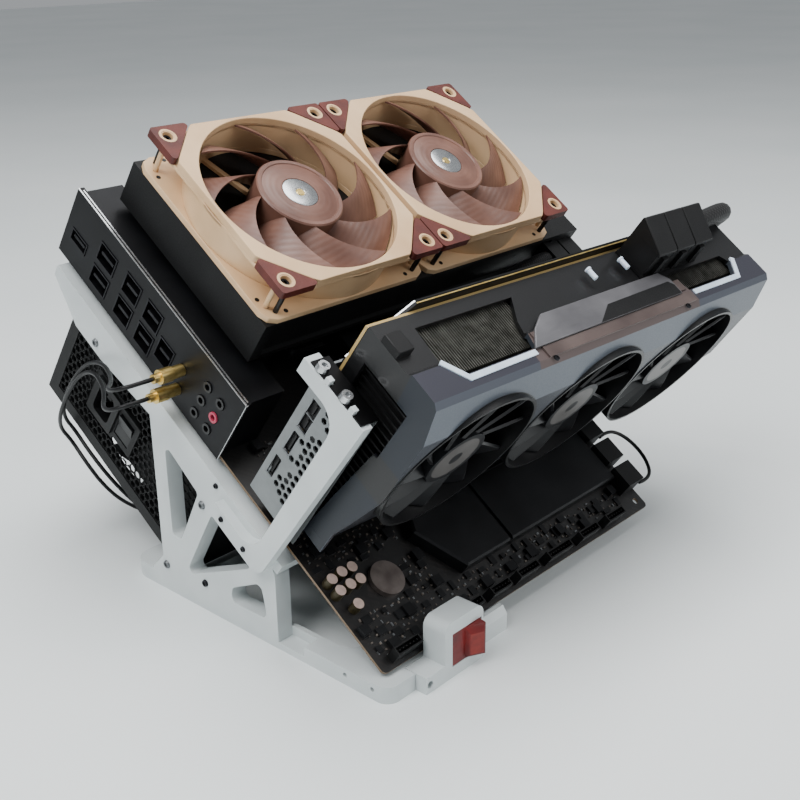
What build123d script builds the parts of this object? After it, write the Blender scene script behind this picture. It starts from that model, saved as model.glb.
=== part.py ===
from build123d import *
import math
import os

# Whole bench, in millimetres and degrees
tilt = 36.0
corner_height = 12.5
wall_gap = 0.3

# Base ring, measured from the lower near corner of the board
base_left = -6.0
base_right = 171.0
base_narrow_right = 88.0
base_front = -8.0
base_wide_front = 16.0
base_rear = 198.0
base_thickness = 9.5
base_corner_radius = 12.0
base_nose_radius = 7.5
base_seat_depth = 5.5
base_lip = 3.0
base_front_band = 38.0
base_rear_band = 14.0
base_seat_front = 51.0
side_hole_diameter = 2.6

# Side trusses
truss_thickness = 10.0
truss_front = 70.5
truss_shoulder = 30.5
truss_leg_rear = 166.5
truss_foot_rear = 177.0
truss_step = 143.5
truss_holes = (
    (((155.5, 82), (129.4, 59.5), (147.5, 25.8), (155.5, 25.8)), 3.0),
    (((119, 50.5), (147, 3.5), (87, 29.5)), 3.0),
    (((107.8, 1.9), (105.9, 10.9), (82, 22.6), (78.2, 2.2)), 4.0),
)

# Board tray
tray_top = -6.6
tray_thickness = 7.4
tray_front = 75.0
tray_rear = 293.0
bar_width = 12.0
tray_far = 243.8

# Slot arm
arm_thickness = 6.0
arm_reach = 109.0
arm_back = 121.7
arm_front = 77.0
arm_head = 9.2
arm_flange = 3.4
arm_inner = 90.3
arm_crook = 13.0
arm_foot_radius = 8.0
lug_size = 3.0
foot_top = -12.0
foot_bottom = -21.0
foot_rear = 124.3

# Power switch housing
housing_left = 28.2
housing_width = 30.3
housing_front = -15.0
housing_depth = 14.4
housing_top = 20.0
housing_radius = 5.5
ledge_left = 14.0
rocker_width = 22.0
rocker_height = 19.0
rocker_centre_z = 3.1
rocker_tilt = 14.0
pocket_depth = 10.0
rocker_x = 45.5
rocker_inset = 2.2
rocker_dip = 1.95
rocker_pin = 1.2

# Power supply
psu_length = 140.0
psu_width = 150.0
psu_height = 86.0
psu_front = 127.9
psu_top = -14.9
psu_wall = 1.4
psu_fan_bore = 128.0
psu_fan_depth = 22.0
inlet_spot = (230.5, -63.5)
inlet_size = (20.0, 25.0)
switch_spot = (210.0, -64.5)
switch_size = (13.6, 18.0)
switch_tilt = 7.0
switch_dip = 1.2
comb_pitch = 9.6
comb_cell = 7.6
comb_count = (16, 8)

# Motherboard
board_width = 243.8
board_length = 304.8
board_thickness = 1.6
board_corner_radius = 3.0
hole_columns = (10.16, 165.1, 237.49)
hole_rows = (163.83, 288.29)
board_hole = 4.0
standoff_across = 6.0

# Input and output corner of the board
shield_front = 142.3
shield_rear = 301.3
shield_top = 42.5
shield_thickness = 1.0
cover_rise = 42.2
cover_top = 46.7

# Cooler
fan_size = 120.0
fan_depth = 25.0
fan_bore = 113.0
fan_hole_pitch = 105.0
fan_first = 13.5
fan_spacing = 120.7
fan_front = 163.8
fan_top = 99.0
rotor_hub = 46.0
rotor_clearance = 1.0
rotor_blades = 9
pad_size = 27.0
pad_thickness = 4.5
radiator_depth = 27.0
pump_across = 62.0
pump_x = 112.0
pump_s = 222.0
hose_diameter = 11.0

# Graphics card
card_seat = 110.0
card_sag = 1.5
card_length = 298.0
card_start = 3.0
card_top = 140.0
card_board_top = 137.0
card_board_bottom = 3.0
card_board_thickness = 1.6
backplate_top = 141.5
card_fan_bore = 92.0
card_fan_centres = (52.0, 148.0, 244.0)
card_fan_height = 82.0
card_fan_hub = 36.0
card_fan_blades = 11
card_fan_depth = 12.0
bracket_thickness = 0.9
bracket_front = -31.0
bracket_rear = 8.0

# Screws and turning fits
screw_head = 6.4
screw_head_height = 2.0
screw_shank = 3.2
screw_bore = screw_shank + 0.1
screw_length = 6.0
axle = 3.0
axle_bore = axle + 0.1
truss_foot_screw = ((129, 5),)
rail_screw = (132.2, -10.6)

# Places on the motherboard, as distances from its lower near corner
ports = (
    ((202.5, 16.0), (13.5, 15.0)),
    ((219.5, 9.5), (14.5, 14.0)),
    ((219.5, 27.0), (14.5, 14.0)),
    ((240.0, 9.5), (14.5, 14.0)),
    ((240.0, 27.0), (14.5, 14.0)),
    ((264.0, 9.0), (16.0, 13.0)),
    ((264.0, 26.0), (16.0, 13.0)),
    ((288.0, 16.0), (15.0, 8.0)),
)
jack_spots = (
    (156.5, 28.0), (168.0, 28.5), (156.5, 16.8), (168.0, 17.5), (157.0, 6.6), (168.5, 6.6),
)
jack_size = 6.2
antenna_spots = ((187.6, 20.0), (185.0, 7.0))
plate_outline = ((66, 54), (82.3, 23.5), (228, 24.5), (228, 66.5), (72, 66.5))
coin_spot = (37.0, 41.0)
coin_size = 20.0
capacitor_spots = (
    (20.0, 54.2), (12.8, 54.4), (19.8, 46.6), (12.6, 46.6), (5.0, 53.4), (5.0, 46.2), (9.0, 35.8),
)
header_spans = ((8, 26), (62, 76), (84, 100), (108, 126), (136, 158), (168, 186), (196, 214))
edge_spans = ((14, 29), (33, 48), (52, 67), (71, 82))
blade_thickness = 1.8
axle_reach = 3.0
radiator_length = 272.0

# Graphics card plugs and shell
shroud_wall = 2.4
card_fan_post = 4.0
card_rim = 1.7
plug_left = 195.0
plug_width = 19.0
plug_front = -22.0
plug_back = -1.0

# Cords, as routes along the board
graphics_lead_diameter = 11.0
loop_cable_diameter = 2.4
lead_diameter = 2.4
coil_size = 26.0
coil_section = 7.4
coil_centres = ((70, 226), (70, 268))
hose_front_route = (
    (269.4, 142, 61), (252, 142, 61), (212, 142.5, 46), (172, 144, 31), (138, 152, 25),
    (124, 157, 24), (109.1, 157, 24),
)
hose_rear_route = (
    (254.9, 157, 61), (240, 157, 61), (206, 156.5, 47), (174, 158, 33), (152, 170, 25),
    (142, 172, 24), (131.1, 172, 24),
)
graphics_lead_route = (
    (252.5, 98, 149), (272, 98, 151.5), (308, 101, 148), (326, 112, 113), (326, 124, 74),
    (312, 138, 26), (286, 152, -20), (242, 172, -52), (196, 190, -60), (144.1, 190, -60),
)
loop_cable_route = (
    (245.3, 52, 6), (257, 54, 6), (267, 44, 6), (268, 26, 6), (258, 12, 6), (245.3, 14, 6),
)
upper_lead_route = (
    (-20.8, 187.6, 20), (-36, 187.6, 20), (-38, 198, 5), (-20, 212, -9), (-12, 230, -18),
    (-10.5, 243, -34), (-10.5, 248, -58), (-8, 250, -82), (-1, 251, -100), (5, 246, -108),
    (5, 228, -109), (8, 208, -112), (22, 194, -128), (44, 190.5, -150.8), (70, 191.2, -152.6),
)
lower_lead_route = (
    (-20.8, 185, 7), (-36, 185, 7), (-37.5, 195.5, -9), (-22, 212, -18), (-15, 230, -25),
    (-14, 240, -38), (-14, 244, -60), (-12, 246, -84), (-5, 248, -104), (2, 243, -113),
    (2, 226, -114), (5, 210, -118), (18, 200, -132), (44, 194.5, -154.2), (70, 195.4, -155.7),
)

# Derived frames: the table, and the tilted plane of the motherboard
cos_tilt = math.cos(math.radians(tilt))
sin_tilt = math.sin(math.radians(tilt))
corner_x = -(base_left + base_right) / 2
corner_y = -(base_front + base_front_band / 2)
base_top = base_thickness - corner_height
seat_top = base_top - base_seat_depth
board = Plane(
    origin=(corner_x, corner_y, corner_height),
    x_dir=(1, 0, 0),
    z_dir=(0, -sin_tilt, cos_tilt),
)
table = Plane(origin=(corner_x, corner_y, 0))
sag_cos = math.cos(math.radians(card_sag))
sag_sin = math.sin(math.radians(card_sag))
card_dir = board.x_dir * sag_cos - board.y_dir * sag_sin
card = Plane(
    origin=board.from_local_coords((0, card_seat, 0)),
    x_dir=card_dir,
    z_dir=board.z_dir,
)
pieces = {}


def side_of(plane, x):
    """Plane across a frame at x, with its y and z as the sketch axes."""
    return Plane(
        origin=plane.from_local_coords((x, 0, 0)),
        x_dir=plane.y_dir,
        z_dir=plane.x_dir,
    )


def front_of(plane, y):
    """Plane that faces towards minus y of a frame, with x and z as the sketch axes."""
    return Plane(
        origin=plane.from_local_coords((0, y, 0)),
        x_dir=plane.x_dir,
        z_dir=-plane.y_dir,
    )


def upright(x):
    """Vertical plane across the bench at x, measured from the board's lower corner."""
    return Plane(
        origin=(corner_x + x, corner_y, corner_height),
        x_dir=(0, 1, 0),
        z_dir=(1, 0, 0),
    )


def on_board(s, n):
    """Height and depth of a point given along the board and off its face."""
    return (s * cos_tilt - n * sin_tilt, s * sin_tilt + n * cos_tilt)


def block(plane, x, y, z, mode=Mode.ADD, radius=0.0):
    """Box between pairs of limits in a frame, with rounded plan corners."""
    with BuildSketch(plane.offset(z[0])) as plan:
        with Locations(((x[0] + x[1]) / 2, (y[0] + y[1]) / 2)):
            if radius > 0:
                RectangleRounded(x[1] - x[0], y[1] - y[0], radius)
            else:
                Rectangle(x[1] - x[0], y[1] - y[0])
    extrude(plan.sketch, amount=z[1] - z[0], mode=mode)


def rod(plane, spots, diameter, length, mode=Mode.ADD):
    """Round bars or holes at places of a plane, along its normal."""
    with BuildSketch(plane) as ends:
        with Locations(*spots):
            Circle(diameter / 2)
    extrude(ends.sketch, amount=length, mode=mode)


def slab(plane, corners, thickness, mode=Mode.ADD, radius=0.0):
    """Plate with a polygon outline, from a plane along its normal."""
    with BuildSketch(plane) as face:
        with BuildLine():
            Polyline(*corners, close=True)
        make_face()
        if radius > 0:
            fillet(face.vertices(), radius)
    extrude(face.sketch, amount=thickness, mode=mode)


# Base ring
psu_edge = on_board(psu_front, psu_top - psu_height)
rib_top = psu_edge[1] - wall_gap
housing_right = housing_left + housing_width
housing_back = housing_front + housing_depth
stop_left = base_narrow_right - 20.0
truss_places = (base_left, base_right - truss_thickness)
with BuildPart() as base_plate:
    with BuildSketch(table):
        with BuildLine():
            Polyline(
                (base_left, base_front),
                (base_narrow_right, base_front),
                (base_narrow_right, base_wide_front),
                (base_right, base_wide_front),
                (base_right, base_rear),
                (base_left, base_rear),
                close=True,
            )
        make_face()
        nose = vertices().group_by(Axis.X)[0].sort_by(Axis.Y)[0]
        fillet(nose, base_nose_radius)
        fillet(vertices().group_by(Axis.Y)[-1], base_corner_radius)
    extrude(amount=base_thickness)
    opening_left = base_left + truss_thickness + base_lip
    opening_right = base_right - truss_thickness - base_lip
    opening_front = base_front + base_front_band
    opening_rear = base_rear - base_rear_band
    opening_x = (opening_left, opening_right)
    opening_y = (opening_front, opening_rear)
    block(table, opening_x, opening_y, (0, base_thickness), Mode.SUBTRACT, base_nose_radius)
    rib_y = (psu_edge[0] - bar_width / 2, psu_edge[0] + bar_width / 2)
    block(table, opening_x, rib_y, (0, rib_top + corner_height))
    relief_y = (rib_y[0], rib_y[1] + 4)
    relief_z = (rib_top + corner_height, base_thickness)
    lip_x = (opening_left - base_lip, opening_left)
    block(table, lip_x, relief_y, relief_z, Mode.SUBTRACT)
    for place in truss_places:
        seat = (
            (base_seat_front, base_top),
            (base_seat_front, seat_top),
            (truss_step, seat_top),
            (truss_step + base_seat_depth, base_top),
        )
        slab(upright(place), seat, truss_thickness, Mode.SUBTRACT)
    notch_x = (ledge_left - wall_gap, housing_right + wall_gap)
    notch_y = (base_front, housing_back + wall_gap)
    block(table, notch_x, notch_y, (0, base_thickness), Mode.SUBTRACT)
    stop_foot = on_board(15, -board_thickness - wall_gap)
    stop = (
        (base_front, base_top),
        (base_front + 2.8, base_top + 4.2),
        (-2.4, base_top + 4.2),
        on_board(-wall_gap, 0.4),
        on_board(-wall_gap, -board_thickness - wall_gap),
        stop_foot,
        (stop_foot[0], base_top),
    )
    slab(upright(stop_left), stop, base_narrow_right - stop_left)
    side_holes = [(21.6, -6.8), (2.9, -6.8)]
    rod(upright(base_left), side_holes, side_hole_diameter, 8, Mode.SUBTRACT)
pieces["base_plate"] = base_plate

# Side trusses, each one plate cut by three rounded holes
chord_top = tray_top - tray_thickness
psu_screw_spots = ((245.6, -21.1), (133.9, -30.9), (134.7, -92.5))
arm_screw_spots = ((116, -16), (96, -16))
truss_outline = (
    (truss_front, seat_top),
    (truss_front, truss_shoulder),
    on_board(tray_front + 4, chord_top),
    on_board(tray_rear, chord_top),
    on_board(264, chord_top - 13),
    on_board(238, chord_top - 13),
    (truss_leg_rear, 95.6),
    (truss_leg_rear, 9),
    (truss_foot_rear, base_top + 1.4),
    (truss_foot_rear, base_top),
    (truss_step + base_seat_depth, base_top),
    (truss_step, seat_top),
)
trusses = {}
for label, place in zip(("left_truss", "right_truss"), truss_places):
    with BuildPart() as truss:
        slab(upright(place), truss_outline, truss_thickness)
        for corners, radius in truss_holes:
            slab(upright(place), corners, truss_thickness, Mode.SUBTRACT, radius)
        if place == base_left:
            across = side_of(board, place)
            rod(across, psu_screw_spots, screw_bore, truss_thickness, Mode.SUBTRACT)
            rod(across, arm_screw_spots, screw_bore, screw_length, Mode.SUBTRACT)
            rod(upright(place), truss_foot_screw, screw_bore, screw_length, Mode.SUBTRACT)
    pieces[label] = truss

# Board tray: two rails joined by three cross bars
bar_rows = (tray_front, hole_rows[0] - bar_width / 2, tray_rear - bar_width)
rail_z = (chord_top, tray_top)
with BuildPart() as board_tray:
    for place in truss_places:
        block(board, (place, place + truss_thickness), (tray_front, tray_rear), rail_z)
    for row in bar_rows:
        block(board, (base_left, tray_far), (row, row + bar_width), rail_z)
    rod(side_of(board, base_left), [rail_screw], screw_bore, screw_length, Mode.SUBTRACT)
pieces["board_tray"] = board_tray

# Slot arm, with a flange along its head and two lugs for the card bracket
arm_left = base_left - arm_thickness
arm_outline = (
    (arm_front + 3, foot_bottom),
    (arm_front, arm_reach),
    (arm_back, arm_reach),
    (arm_back, arm_reach - arm_head),
    (arm_inner, arm_reach - arm_head),
    (arm_inner, foot_top),
    (foot_rear, foot_top),
    (foot_rear, foot_bottom),
)
lug_rows = (104.0, 86.0)
bracket_screw_spots = ((-8.5, 2.5), (-8.5, -15.5))
with BuildPart() as slot_arm:
    with BuildSketch(side_of(board, arm_left)):
        with BuildLine():
            Polyline(*arm_outline, close=True)
        make_face()
        inner = vertices().filter_by(lambda v: abs(v.X - arm_inner) < 0.1)
        fillet(inner, arm_crook)
        heel = vertices().sort_by_distance((arm_front + 3, foot_bottom))[0]
        fillet(heel, arm_foot_radius)
    extrude(amount=arm_thickness)
    flange_x = (base_left, base_left + arm_flange)
    flange_z = (arm_reach - arm_head, arm_reach)
    block(board, flange_x, (arm_inner, arm_back), flange_z)
    for row in lug_rows:
        lug_x = (arm_left + 0.3, arm_left + 0.3 + lug_size)
        block(board, lug_x, (row, row + lug_size), (arm_reach, arm_reach + lug_size))
    rod(side_of(board, arm_left), arm_screw_spots, screw_bore, arm_thickness, Mode.SUBTRACT)
    sockets = card.offset(arm_reach - screw_length)
    rod(sockets, bracket_screw_spots, screw_bore, screw_length, Mode.SUBTRACT)
pieces["slot_arm"] = slot_arm



def rocker_outline(half, dip, tilt):
    """Section of a rocker about its pivot, with the face folded along the middle."""
    rise = dip + half * math.tan(math.radians(tilt))
    return (
        (0, -dip),
        (half, -rise),
        (half - 0.4, 0.5),
        (half * 0.3, half * 0.4),
        (-half * 0.3, half * 0.4),
        (-half + 0.4, 0.5),
        (-half, -rise),
    )


# Power switch housing with its ledge, and the rocker inside it
pocket_bottom = rocker_centre_z + corner_height - rocker_height / 2
pocket_x = (rocker_x - rocker_width / 2 - 0.5, rocker_x + rocker_width / 2 + 0.5)
pivot_y = housing_front + rocker_inset
pin_reach = 1.6
with BuildPart() as switch_housing:
    housing_outline = (
        (ledge_left, 0),
        (ledge_left, base_thickness),
        (housing_left, base_thickness),
        (housing_left, housing_top + corner_height),
        (housing_right, housing_top + corner_height),
        (housing_right, 0),
    )
    with BuildSketch(front_of(table, housing_back)):
        with BuildLine():
            Polyline(*housing_outline, close=True)
        make_face()
        fillet(vertices().group_by(Axis.Y)[-1], housing_radius)
    extrude(amount=housing_depth)
    pocket_y = (housing_front, housing_front + pocket_depth)
    pocket_z = (pocket_bottom, pocket_bottom + rocker_height)
    block(table, pocket_x, pocket_y, pocket_z, Mode.SUBTRACT)
    pivot = [(rocker_x, pivot_y)]
    bore_plane = table.offset(pocket_bottom - pin_reach - 0.2)
    bore_length = rocker_height + 2 * pin_reach + 0.4
    rod(bore_plane, pivot, 2 * rocker_pin + 0.1, bore_length, Mode.SUBTRACT)
    ledge_hole = front_of(table, housing_front)
    rod(ledge_hole, [(16.9, corner_height - 7.8)], 4, -8, Mode.SUBTRACT)
pieces["switch_housing"] = switch_housing

rocker_turn = math.radians(rocker_tilt)
rocker_plane = Plane(
    origin=table.from_local_coords((rocker_x, pivot_y, pocket_bottom + wall_gap)),
    x_dir=(math.cos(rocker_turn), -math.sin(rocker_turn), 0),
    z_dir=(0, 0, 1),
)
rocker_half = rocker_width / 2 - 0.6
with BuildPart() as power_rocker:
    rocker_tall = rocker_height - 2 * wall_gap
    slab(rocker_plane, rocker_outline(rocker_half, rocker_dip, rocker_tilt), rocker_tall)
    pin_plane = rocker_plane.offset(-pin_reach)
    rod(pin_plane, [(0, 0)], 2 * rocker_pin, rocker_tall + 2 * pin_reach)
pieces["power_rocker"] = power_rocker

# Power supply: a case with a honeycomb end wall, inlet, switch and fan
psu_x = (base_left + truss_thickness, base_left + truss_thickness + psu_length)
psu_y = (psu_front, psu_front + psu_width)
psu_z = (psu_top - psu_height, psu_top)
psu_face = side_of(board, psu_x[0])
psu_under = board.offset(psu_z[0])
fan_spot = ((psu_x[0] + psu_x[1]) / 2, (psu_y[0] + psu_y[1]) / 2)
switch_pivot = (psu_x[0] + 1.6, switch_spot[1])
switch_bore_plane = front_of(board, switch_spot[0] + switch_size[0] / 2 + 2)
with BuildPart() as psu_case:
    block(board, psu_x, psu_y, psu_z)
    inner_y = (psu_y[0] + 8, psu_y[1] - 8)
    inner_z = (psu_z[0] + 8, psu_z[1] - 8)
    inner_x = (psu_x[0] + psu_wall, psu_x[0] + 12)
    block(board, inner_x, inner_y, inner_z, Mode.SUBTRACT)
    with BuildSketch(psu_face) as comb:
        with Locations(((inner_y[0] + inner_y[1]) / 2, (inner_z[0] + inner_z[1]) / 2)):
            with HexLocations(comb_pitch / 2, comb_count[0], comb_count[1]):
                RegularPolygon(comb_cell / 2, 6)
        with Locations(inlet_spot):
            Rectangle(inlet_size[0] + 8, inlet_size[1] + 8, mode=Mode.SUBTRACT)
        with Locations(switch_spot):
            Rectangle(switch_size[0] + 8, switch_size[1] + 8, mode=Mode.SUBTRACT)
    extrude(amount=psu_wall, mode=Mode.SUBTRACT)
    inlet_hole = (inlet_size[0] + 2 * wall_gap, inlet_size[1] + 2 * wall_gap)
    switch_body = (switch_size[0] + 5, switch_size[1] + 5)
    for spot, size, depth, mode in (
        (inlet_spot, inlet_hole, 12, Mode.SUBTRACT),
        (switch_spot, switch_body, 12, Mode.ADD),
        (switch_spot, switch_size, 8, Mode.SUBTRACT),
    ):
        with BuildSketch(psu_face):
            with Locations(spot):
                Rectangle(*size)
        extrude(amount=depth, mode=mode)
    rod(switch_bore_plane, [switch_pivot], 2 * rocker_pin + 0.1, switch_body[0] - 1, Mode.SUBTRACT)
    rod(psu_face, psu_screw_spots, screw_bore, screw_length, Mode.SUBTRACT)
    rod(psu_under, [fan_spot], psu_fan_bore, psu_fan_depth, Mode.SUBTRACT)
    rod(psu_under.offset(psu_fan_depth - 6), [fan_spot], 44, 6)
    rod(psu_under.offset(psu_fan_depth - 6), [fan_spot], axle_bore, 6, Mode.SUBTRACT)
    with BuildSketch(psu_under):
        with Locations(fan_spot):
            for ring in (98, 66, 34):
                Circle(ring / 2)
                Circle(ring / 2 - 1.8, mode=Mode.SUBTRACT)
            with PolarLocations(37, 4, start_angle=45):
                Rectangle(56, 1.8)
            Circle(10)
    extrude(amount=psu_wall)
pieces["psu_case"] = psu_case

with BuildPart() as psu_inlet:
    with BuildSketch(psu_face.offset(-1.6)):
        with Locations(inlet_spot):
            RectangleRounded(inlet_size[0] + 4, inlet_size[1] + 4, 2)
    extrude(amount=1.6)
    with BuildSketch(psu_face):
        with Locations(inlet_spot):
            Rectangle(*inlet_size)
    extrude(amount=10)
    with BuildSketch(psu_face.offset(-1.6)):
        with Locations(inlet_spot):
            RectangleRounded(inlet_size[0] - 5, inlet_size[1] - 5, 3)
    extrude(amount=10, mode=Mode.SUBTRACT)
    with BuildSketch(psu_face.offset(1)):
        with Locations(inlet_spot):
            with Locations((0, -5), (3, 0), (0, 5)):
                Rectangle(4, 2)
    extrude(amount=8)
pieces["psu_inlet"] = psu_inlet

switch_turn = math.radians(switch_tilt)
switch_half = (switch_size[0] - 2 * wall_gap) / 2
switch_plane = Plane(
    origin=board.from_local_coords((switch_pivot[0], switch_spot[0] - switch_half, switch_spot[1])),
    x_dir=board.z_dir * math.cos(switch_turn) - board.x_dir * math.sin(switch_turn),
    z_dir=board.y_dir,
)
with BuildPart() as psu_rocker:
    profile = rocker_outline(switch_size[1] / 2 - 0.6, switch_dip, switch_tilt)
    slab(switch_plane, profile, 2 * switch_half)
    rod(switch_plane.offset(-1.4), [(0, 0)], 2 * rocker_pin, 2 * switch_half + 2.8)
pieces["psu_rocker"] = psu_rocker


def centred(plane, spot, turned=0.0):
    """Copy of a plane that is centred on a spot of it and turned about its normal."""
    angle = math.radians(turned)
    return Plane(
        origin=plane.from_local_coords((spot[0], spot[1], 0)),
        x_dir=plane.x_dir * math.cos(angle) + plane.y_dir * math.sin(angle),
        z_dir=plane.z_dir,
    )


def rotor(plane, hub, reach, height, blades):
    """Fan rotor: a hub with its axle below, and blades lofted from hub to tip."""
    count, root_chord, tip_chord, sweep = blades
    with BuildPart() as wheel:
        rod(plane, [(0, 0)], hub, height)
        for index in range(count):
            for radius, chord, lag, pitch in (
                (hub / 2 - 1.5, root_chord, 0, 52),
                (reach + 4, tip_chord, sweep, 28),
            ):
                angle = math.tau * index / count - math.radians(lag)
                outward = plane.x_dir * math.cos(angle) + plane.y_dir * math.sin(angle)
                station = Plane(
                    origin=plane.origin + outward * radius + plane.z_dir * (height / 2),
                    x_dir=plane.z_dir.cross(outward),
                    z_dir=outward,
                )
                with BuildSketch(station):
                    Rectangle(chord, blade_thickness, rotation=pitch)
            loft(ruled=True)
        rod(plane, [(0, 0)], 2 * reach, height, Mode.INTERSECT)
        rod(plane.offset(-axle_reach), [(0, 0)], axle, axle_reach)
    return wheel


psu_rotor_plane = Plane(
    origin=psu_under.from_local_coords((fan_spot[0], fan_spot[1], psu_fan_depth - 7)),
    x_dir=psu_under.x_dir,
    z_dir=-psu_under.z_dir,
)
psu_blades = (7, 18, 30, 20)
psu_reach = psu_fan_bore / 2 - rotor_clearance
pieces["psu_fan_rotor"] = rotor(psu_rotor_plane, 42, psu_reach, 12, psu_blades)

# Motherboard: plate, screws and posts, and the parts soldered or plugged to it
pcb_z = (-board_thickness, 0)
post_spots = [(x, y) for x in hole_columns for y in hole_rows]
open_spots = [(x, 6.35) for x in hole_columns]
with BuildPart() as motherboard:
    block(board, (0, board_width), (0, board_length), pcb_z, Mode.ADD, board_corner_radius)
    all_spots = post_spots + open_spots
    rod(board.offset(-board_thickness), all_spots, board_hole, board_thickness, Mode.SUBTRACT)
pieces["motherboard"] = motherboard

with BuildPart() as board_posts:
    with BuildSketch(board.offset(tray_top)):
        with Locations(*post_spots):
            RegularPolygon(standoff_across / 2, 6)
            Circle(screw_bore / 2, mode=Mode.SUBTRACT)
    extrude(amount=-board_thickness - tray_top)
pieces["board_posts"] = board_posts

with BuildPart() as board_screws:
    rod(board, post_spots, screw_head, screw_head_height)
    rod(board.offset(tray_top + 0.4), post_spots, screw_shank, -tray_top - 0.4)
pieces["board_screws"] = board_screws

shield_x = (-1.5, -1.5 + shield_thickness)
port_back = 15.0
with BuildPart() as io_shield:
    block(board, shield_x, (shield_front, shield_rear), (-2.4, shield_top))
    block(board, (shield_x[0], 2.0), (shield_front, shield_rear), (shield_top, shield_top + 1))
    for spot, size in ports:
        port_y = (spot[0] - size[0] / 2 - wall_gap, spot[0] + size[0] / 2 + wall_gap)
        port_z = (spot[1] - size[1] / 2 - wall_gap, spot[1] + size[1] / 2 + wall_gap)
        block(board, shield_x, port_y, port_z, Mode.SUBTRACT)
    across = side_of(board, shield_x[0])
    rod(across, jack_spots, jack_size + 2 * wall_gap, shield_thickness, Mode.SUBTRACT)
    rod(across, antenna_spots, 6.6, shield_thickness, Mode.SUBTRACT)
pieces["io_shield"] = io_shield

with BuildPart() as io_ports:
    for spot, size in ports:
        port_y = (spot[0] - size[0] / 2, spot[0] + size[0] / 2)
        port_z = (spot[1] - size[1] / 2, spot[1] + size[1] / 2)
        block(board, (-1.9, port_back), port_y, port_z)
        hollow_y = (port_y[0] + 0.8, port_y[1] - 0.8)
        hollow_z = (port_z[0] + 0.8, port_z[1] - 0.8)
        block(board, (-1.9, 7), hollow_y, hollow_z, Mode.SUBTRACT)
        tongue = (spot[1] - 0.9, spot[1] + 0.9)
        tongue_y = (hollow_y[0] + 1.5, hollow_y[1] - 1.5)
        block(board, (-1.2, 8), tongue_y, tongue)
pieces["io_ports"] = io_ports

with BuildPart() as audio_jacks:
    for spot in jack_spots:
        body_y = (spot[0] - 4.9, spot[0] + 4.9)
        body_z = (spot[1] - 4.6, spot[1] + 4.6)
        block(board, (0.2, 12), body_y, body_z)
    across = side_of(board, -2.2)
    rod(across, jack_spots, jack_size, 3)
    rod(across, jack_spots, 3.6, 10, Mode.SUBTRACT)
pieces["audio_jacks"] = audio_jacks

with BuildPart() as antenna_sockets:
    block(board, (0.4, 10), (180, 193), (2, 26))
    rod(side_of(board, -8.5), antenna_spots, 6, 9.5)
pieces["antenna_sockets"] = antenna_sockets

with BuildPart() as io_cover:
    cover_x = (0.2, 26)
    block(board, cover_x, (shield_front + 1.5, shield_rear - 2), (0, cover_rise))
    block(board, (0.2, 24), (shield_front + 3.5, shield_rear - 4), (0, cover_rise - 2), Mode.SUBTRACT)
pieces["io_cover"] = io_cover

with BuildPart() as vrm_heatsink:
    block(board, (26.6, 44), (172, 292), (0.6, cover_top))
    for row in range(12):
        groove_y = (176 + row * 9.6, 180.5 + row * 9.6)
        block(board, (34, 44), groove_y, (12, cover_top), Mode.SUBTRACT)
    block(board, (26.6, 40), (172, 292), (0, 0.6))
pieces["vrm_heatsink"] = vrm_heatsink

with BuildPart() as cpu_socket:
    block(board, (pump_x - 28, pump_x + 28), (pump_s - 37, pump_s + 37), (0, 5), Mode.ADD, 3)
    block(board, (pump_x - 19, pump_x + 19), (pump_s - 19, pump_s + 19), (5, 7))
pieces["cpu_socket"] = cpu_socket

slot_rows = (162, 296)
slot_places = (174.0, 183.5, 193.0, 202.5)
with BuildPart() as memory_slots:
    for place in slot_places:
        block(board, (place - 3.3, place + 3.3), slot_rows, (0, 8))
        groove = (place - 0.75, place + 0.75)
        block(board, groove, (slot_rows[0] + 3, slot_rows[1] - 3), (3, 8), Mode.SUBTRACT)
pieces["memory_slots"] = memory_slots

with BuildPart() as memory_modules:
    for place in slot_places[1::2]:
        stick_y = (slot_rows[0] + 3.3, slot_rows[1] - 3.3)
        block(board, (place - 0.6, place + 0.6), stick_y, (3, 12))
        block(board, (place - 3, place + 3), stick_y, (8.6, cover_top))
pieces["memory_modules"] = memory_modules

with BuildPart() as chipset_plate:
    slab(board, plate_outline, 9)
    top_edges = chipset_plate.faces().sort_by(Axis(board.origin, board.z_dir))[-1].edges()
    chamfer(top_edges, 1.2)
    groove_x = (120, 122.5)
    block(board, groove_x, (20, 70), (7.4, 9), Mode.SUBTRACT)
pieces["chipset_plate"] = chipset_plate

with BuildPart() as coin_cell:
    rod(board, [coin_spot], coin_size, 3.2)
pieces["coin_cell"] = coin_cell

with BuildPart() as capacitors:
    rod(board, capacitor_spots, 6, 6.4)
    rod(board, [(232, 262), (232, 272), (214, 292), (150, 296), (136, 296)], 8, 9)
pieces["capacitors"] = capacitors

with BuildPart() as board_headers:
    for left, right in header_spans:
        block(board, (left, right), (2.4, 7.4), (0, 8.4))
        block(board, (left + 0.8, right - 0.8), (3.2, 6.6), (2, 8.4), Mode.SUBTRACT)
        with BuildSketch(board.offset(2)) as pins:
            count = round((right - left - 2) / 2.54)
            with Locations(((left + right) / 2, 4.9)):
                with GridLocations(2.54, 2.54, count, 1):
                    Rectangle(0.7, 0.7)
        extrude(amount=6)
pieces["board_headers"] = board_headers

with BuildPart() as edge_connectors:
    for near, far in edge_spans:
        block(board, (229, board_width + 1.2), (near, far), (0, 11.5))
        mouth = (near + 1.4, far - 1.4)
        block(board, (234, board_width + 1.2), mouth, (1.6, 5.0), Mode.SUBTRACT)
        block(board, (234, board_width + 1.2), mouth, (6.5, 9.9), Mode.SUBTRACT)
    block(board, (230, 243), (206, 258), (0, 12.6))
    block(board, (232, 241), (208, 256), (4, 12.6), Mode.SUBTRACT)
pieces["edge_connectors"] = edge_connectors

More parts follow.
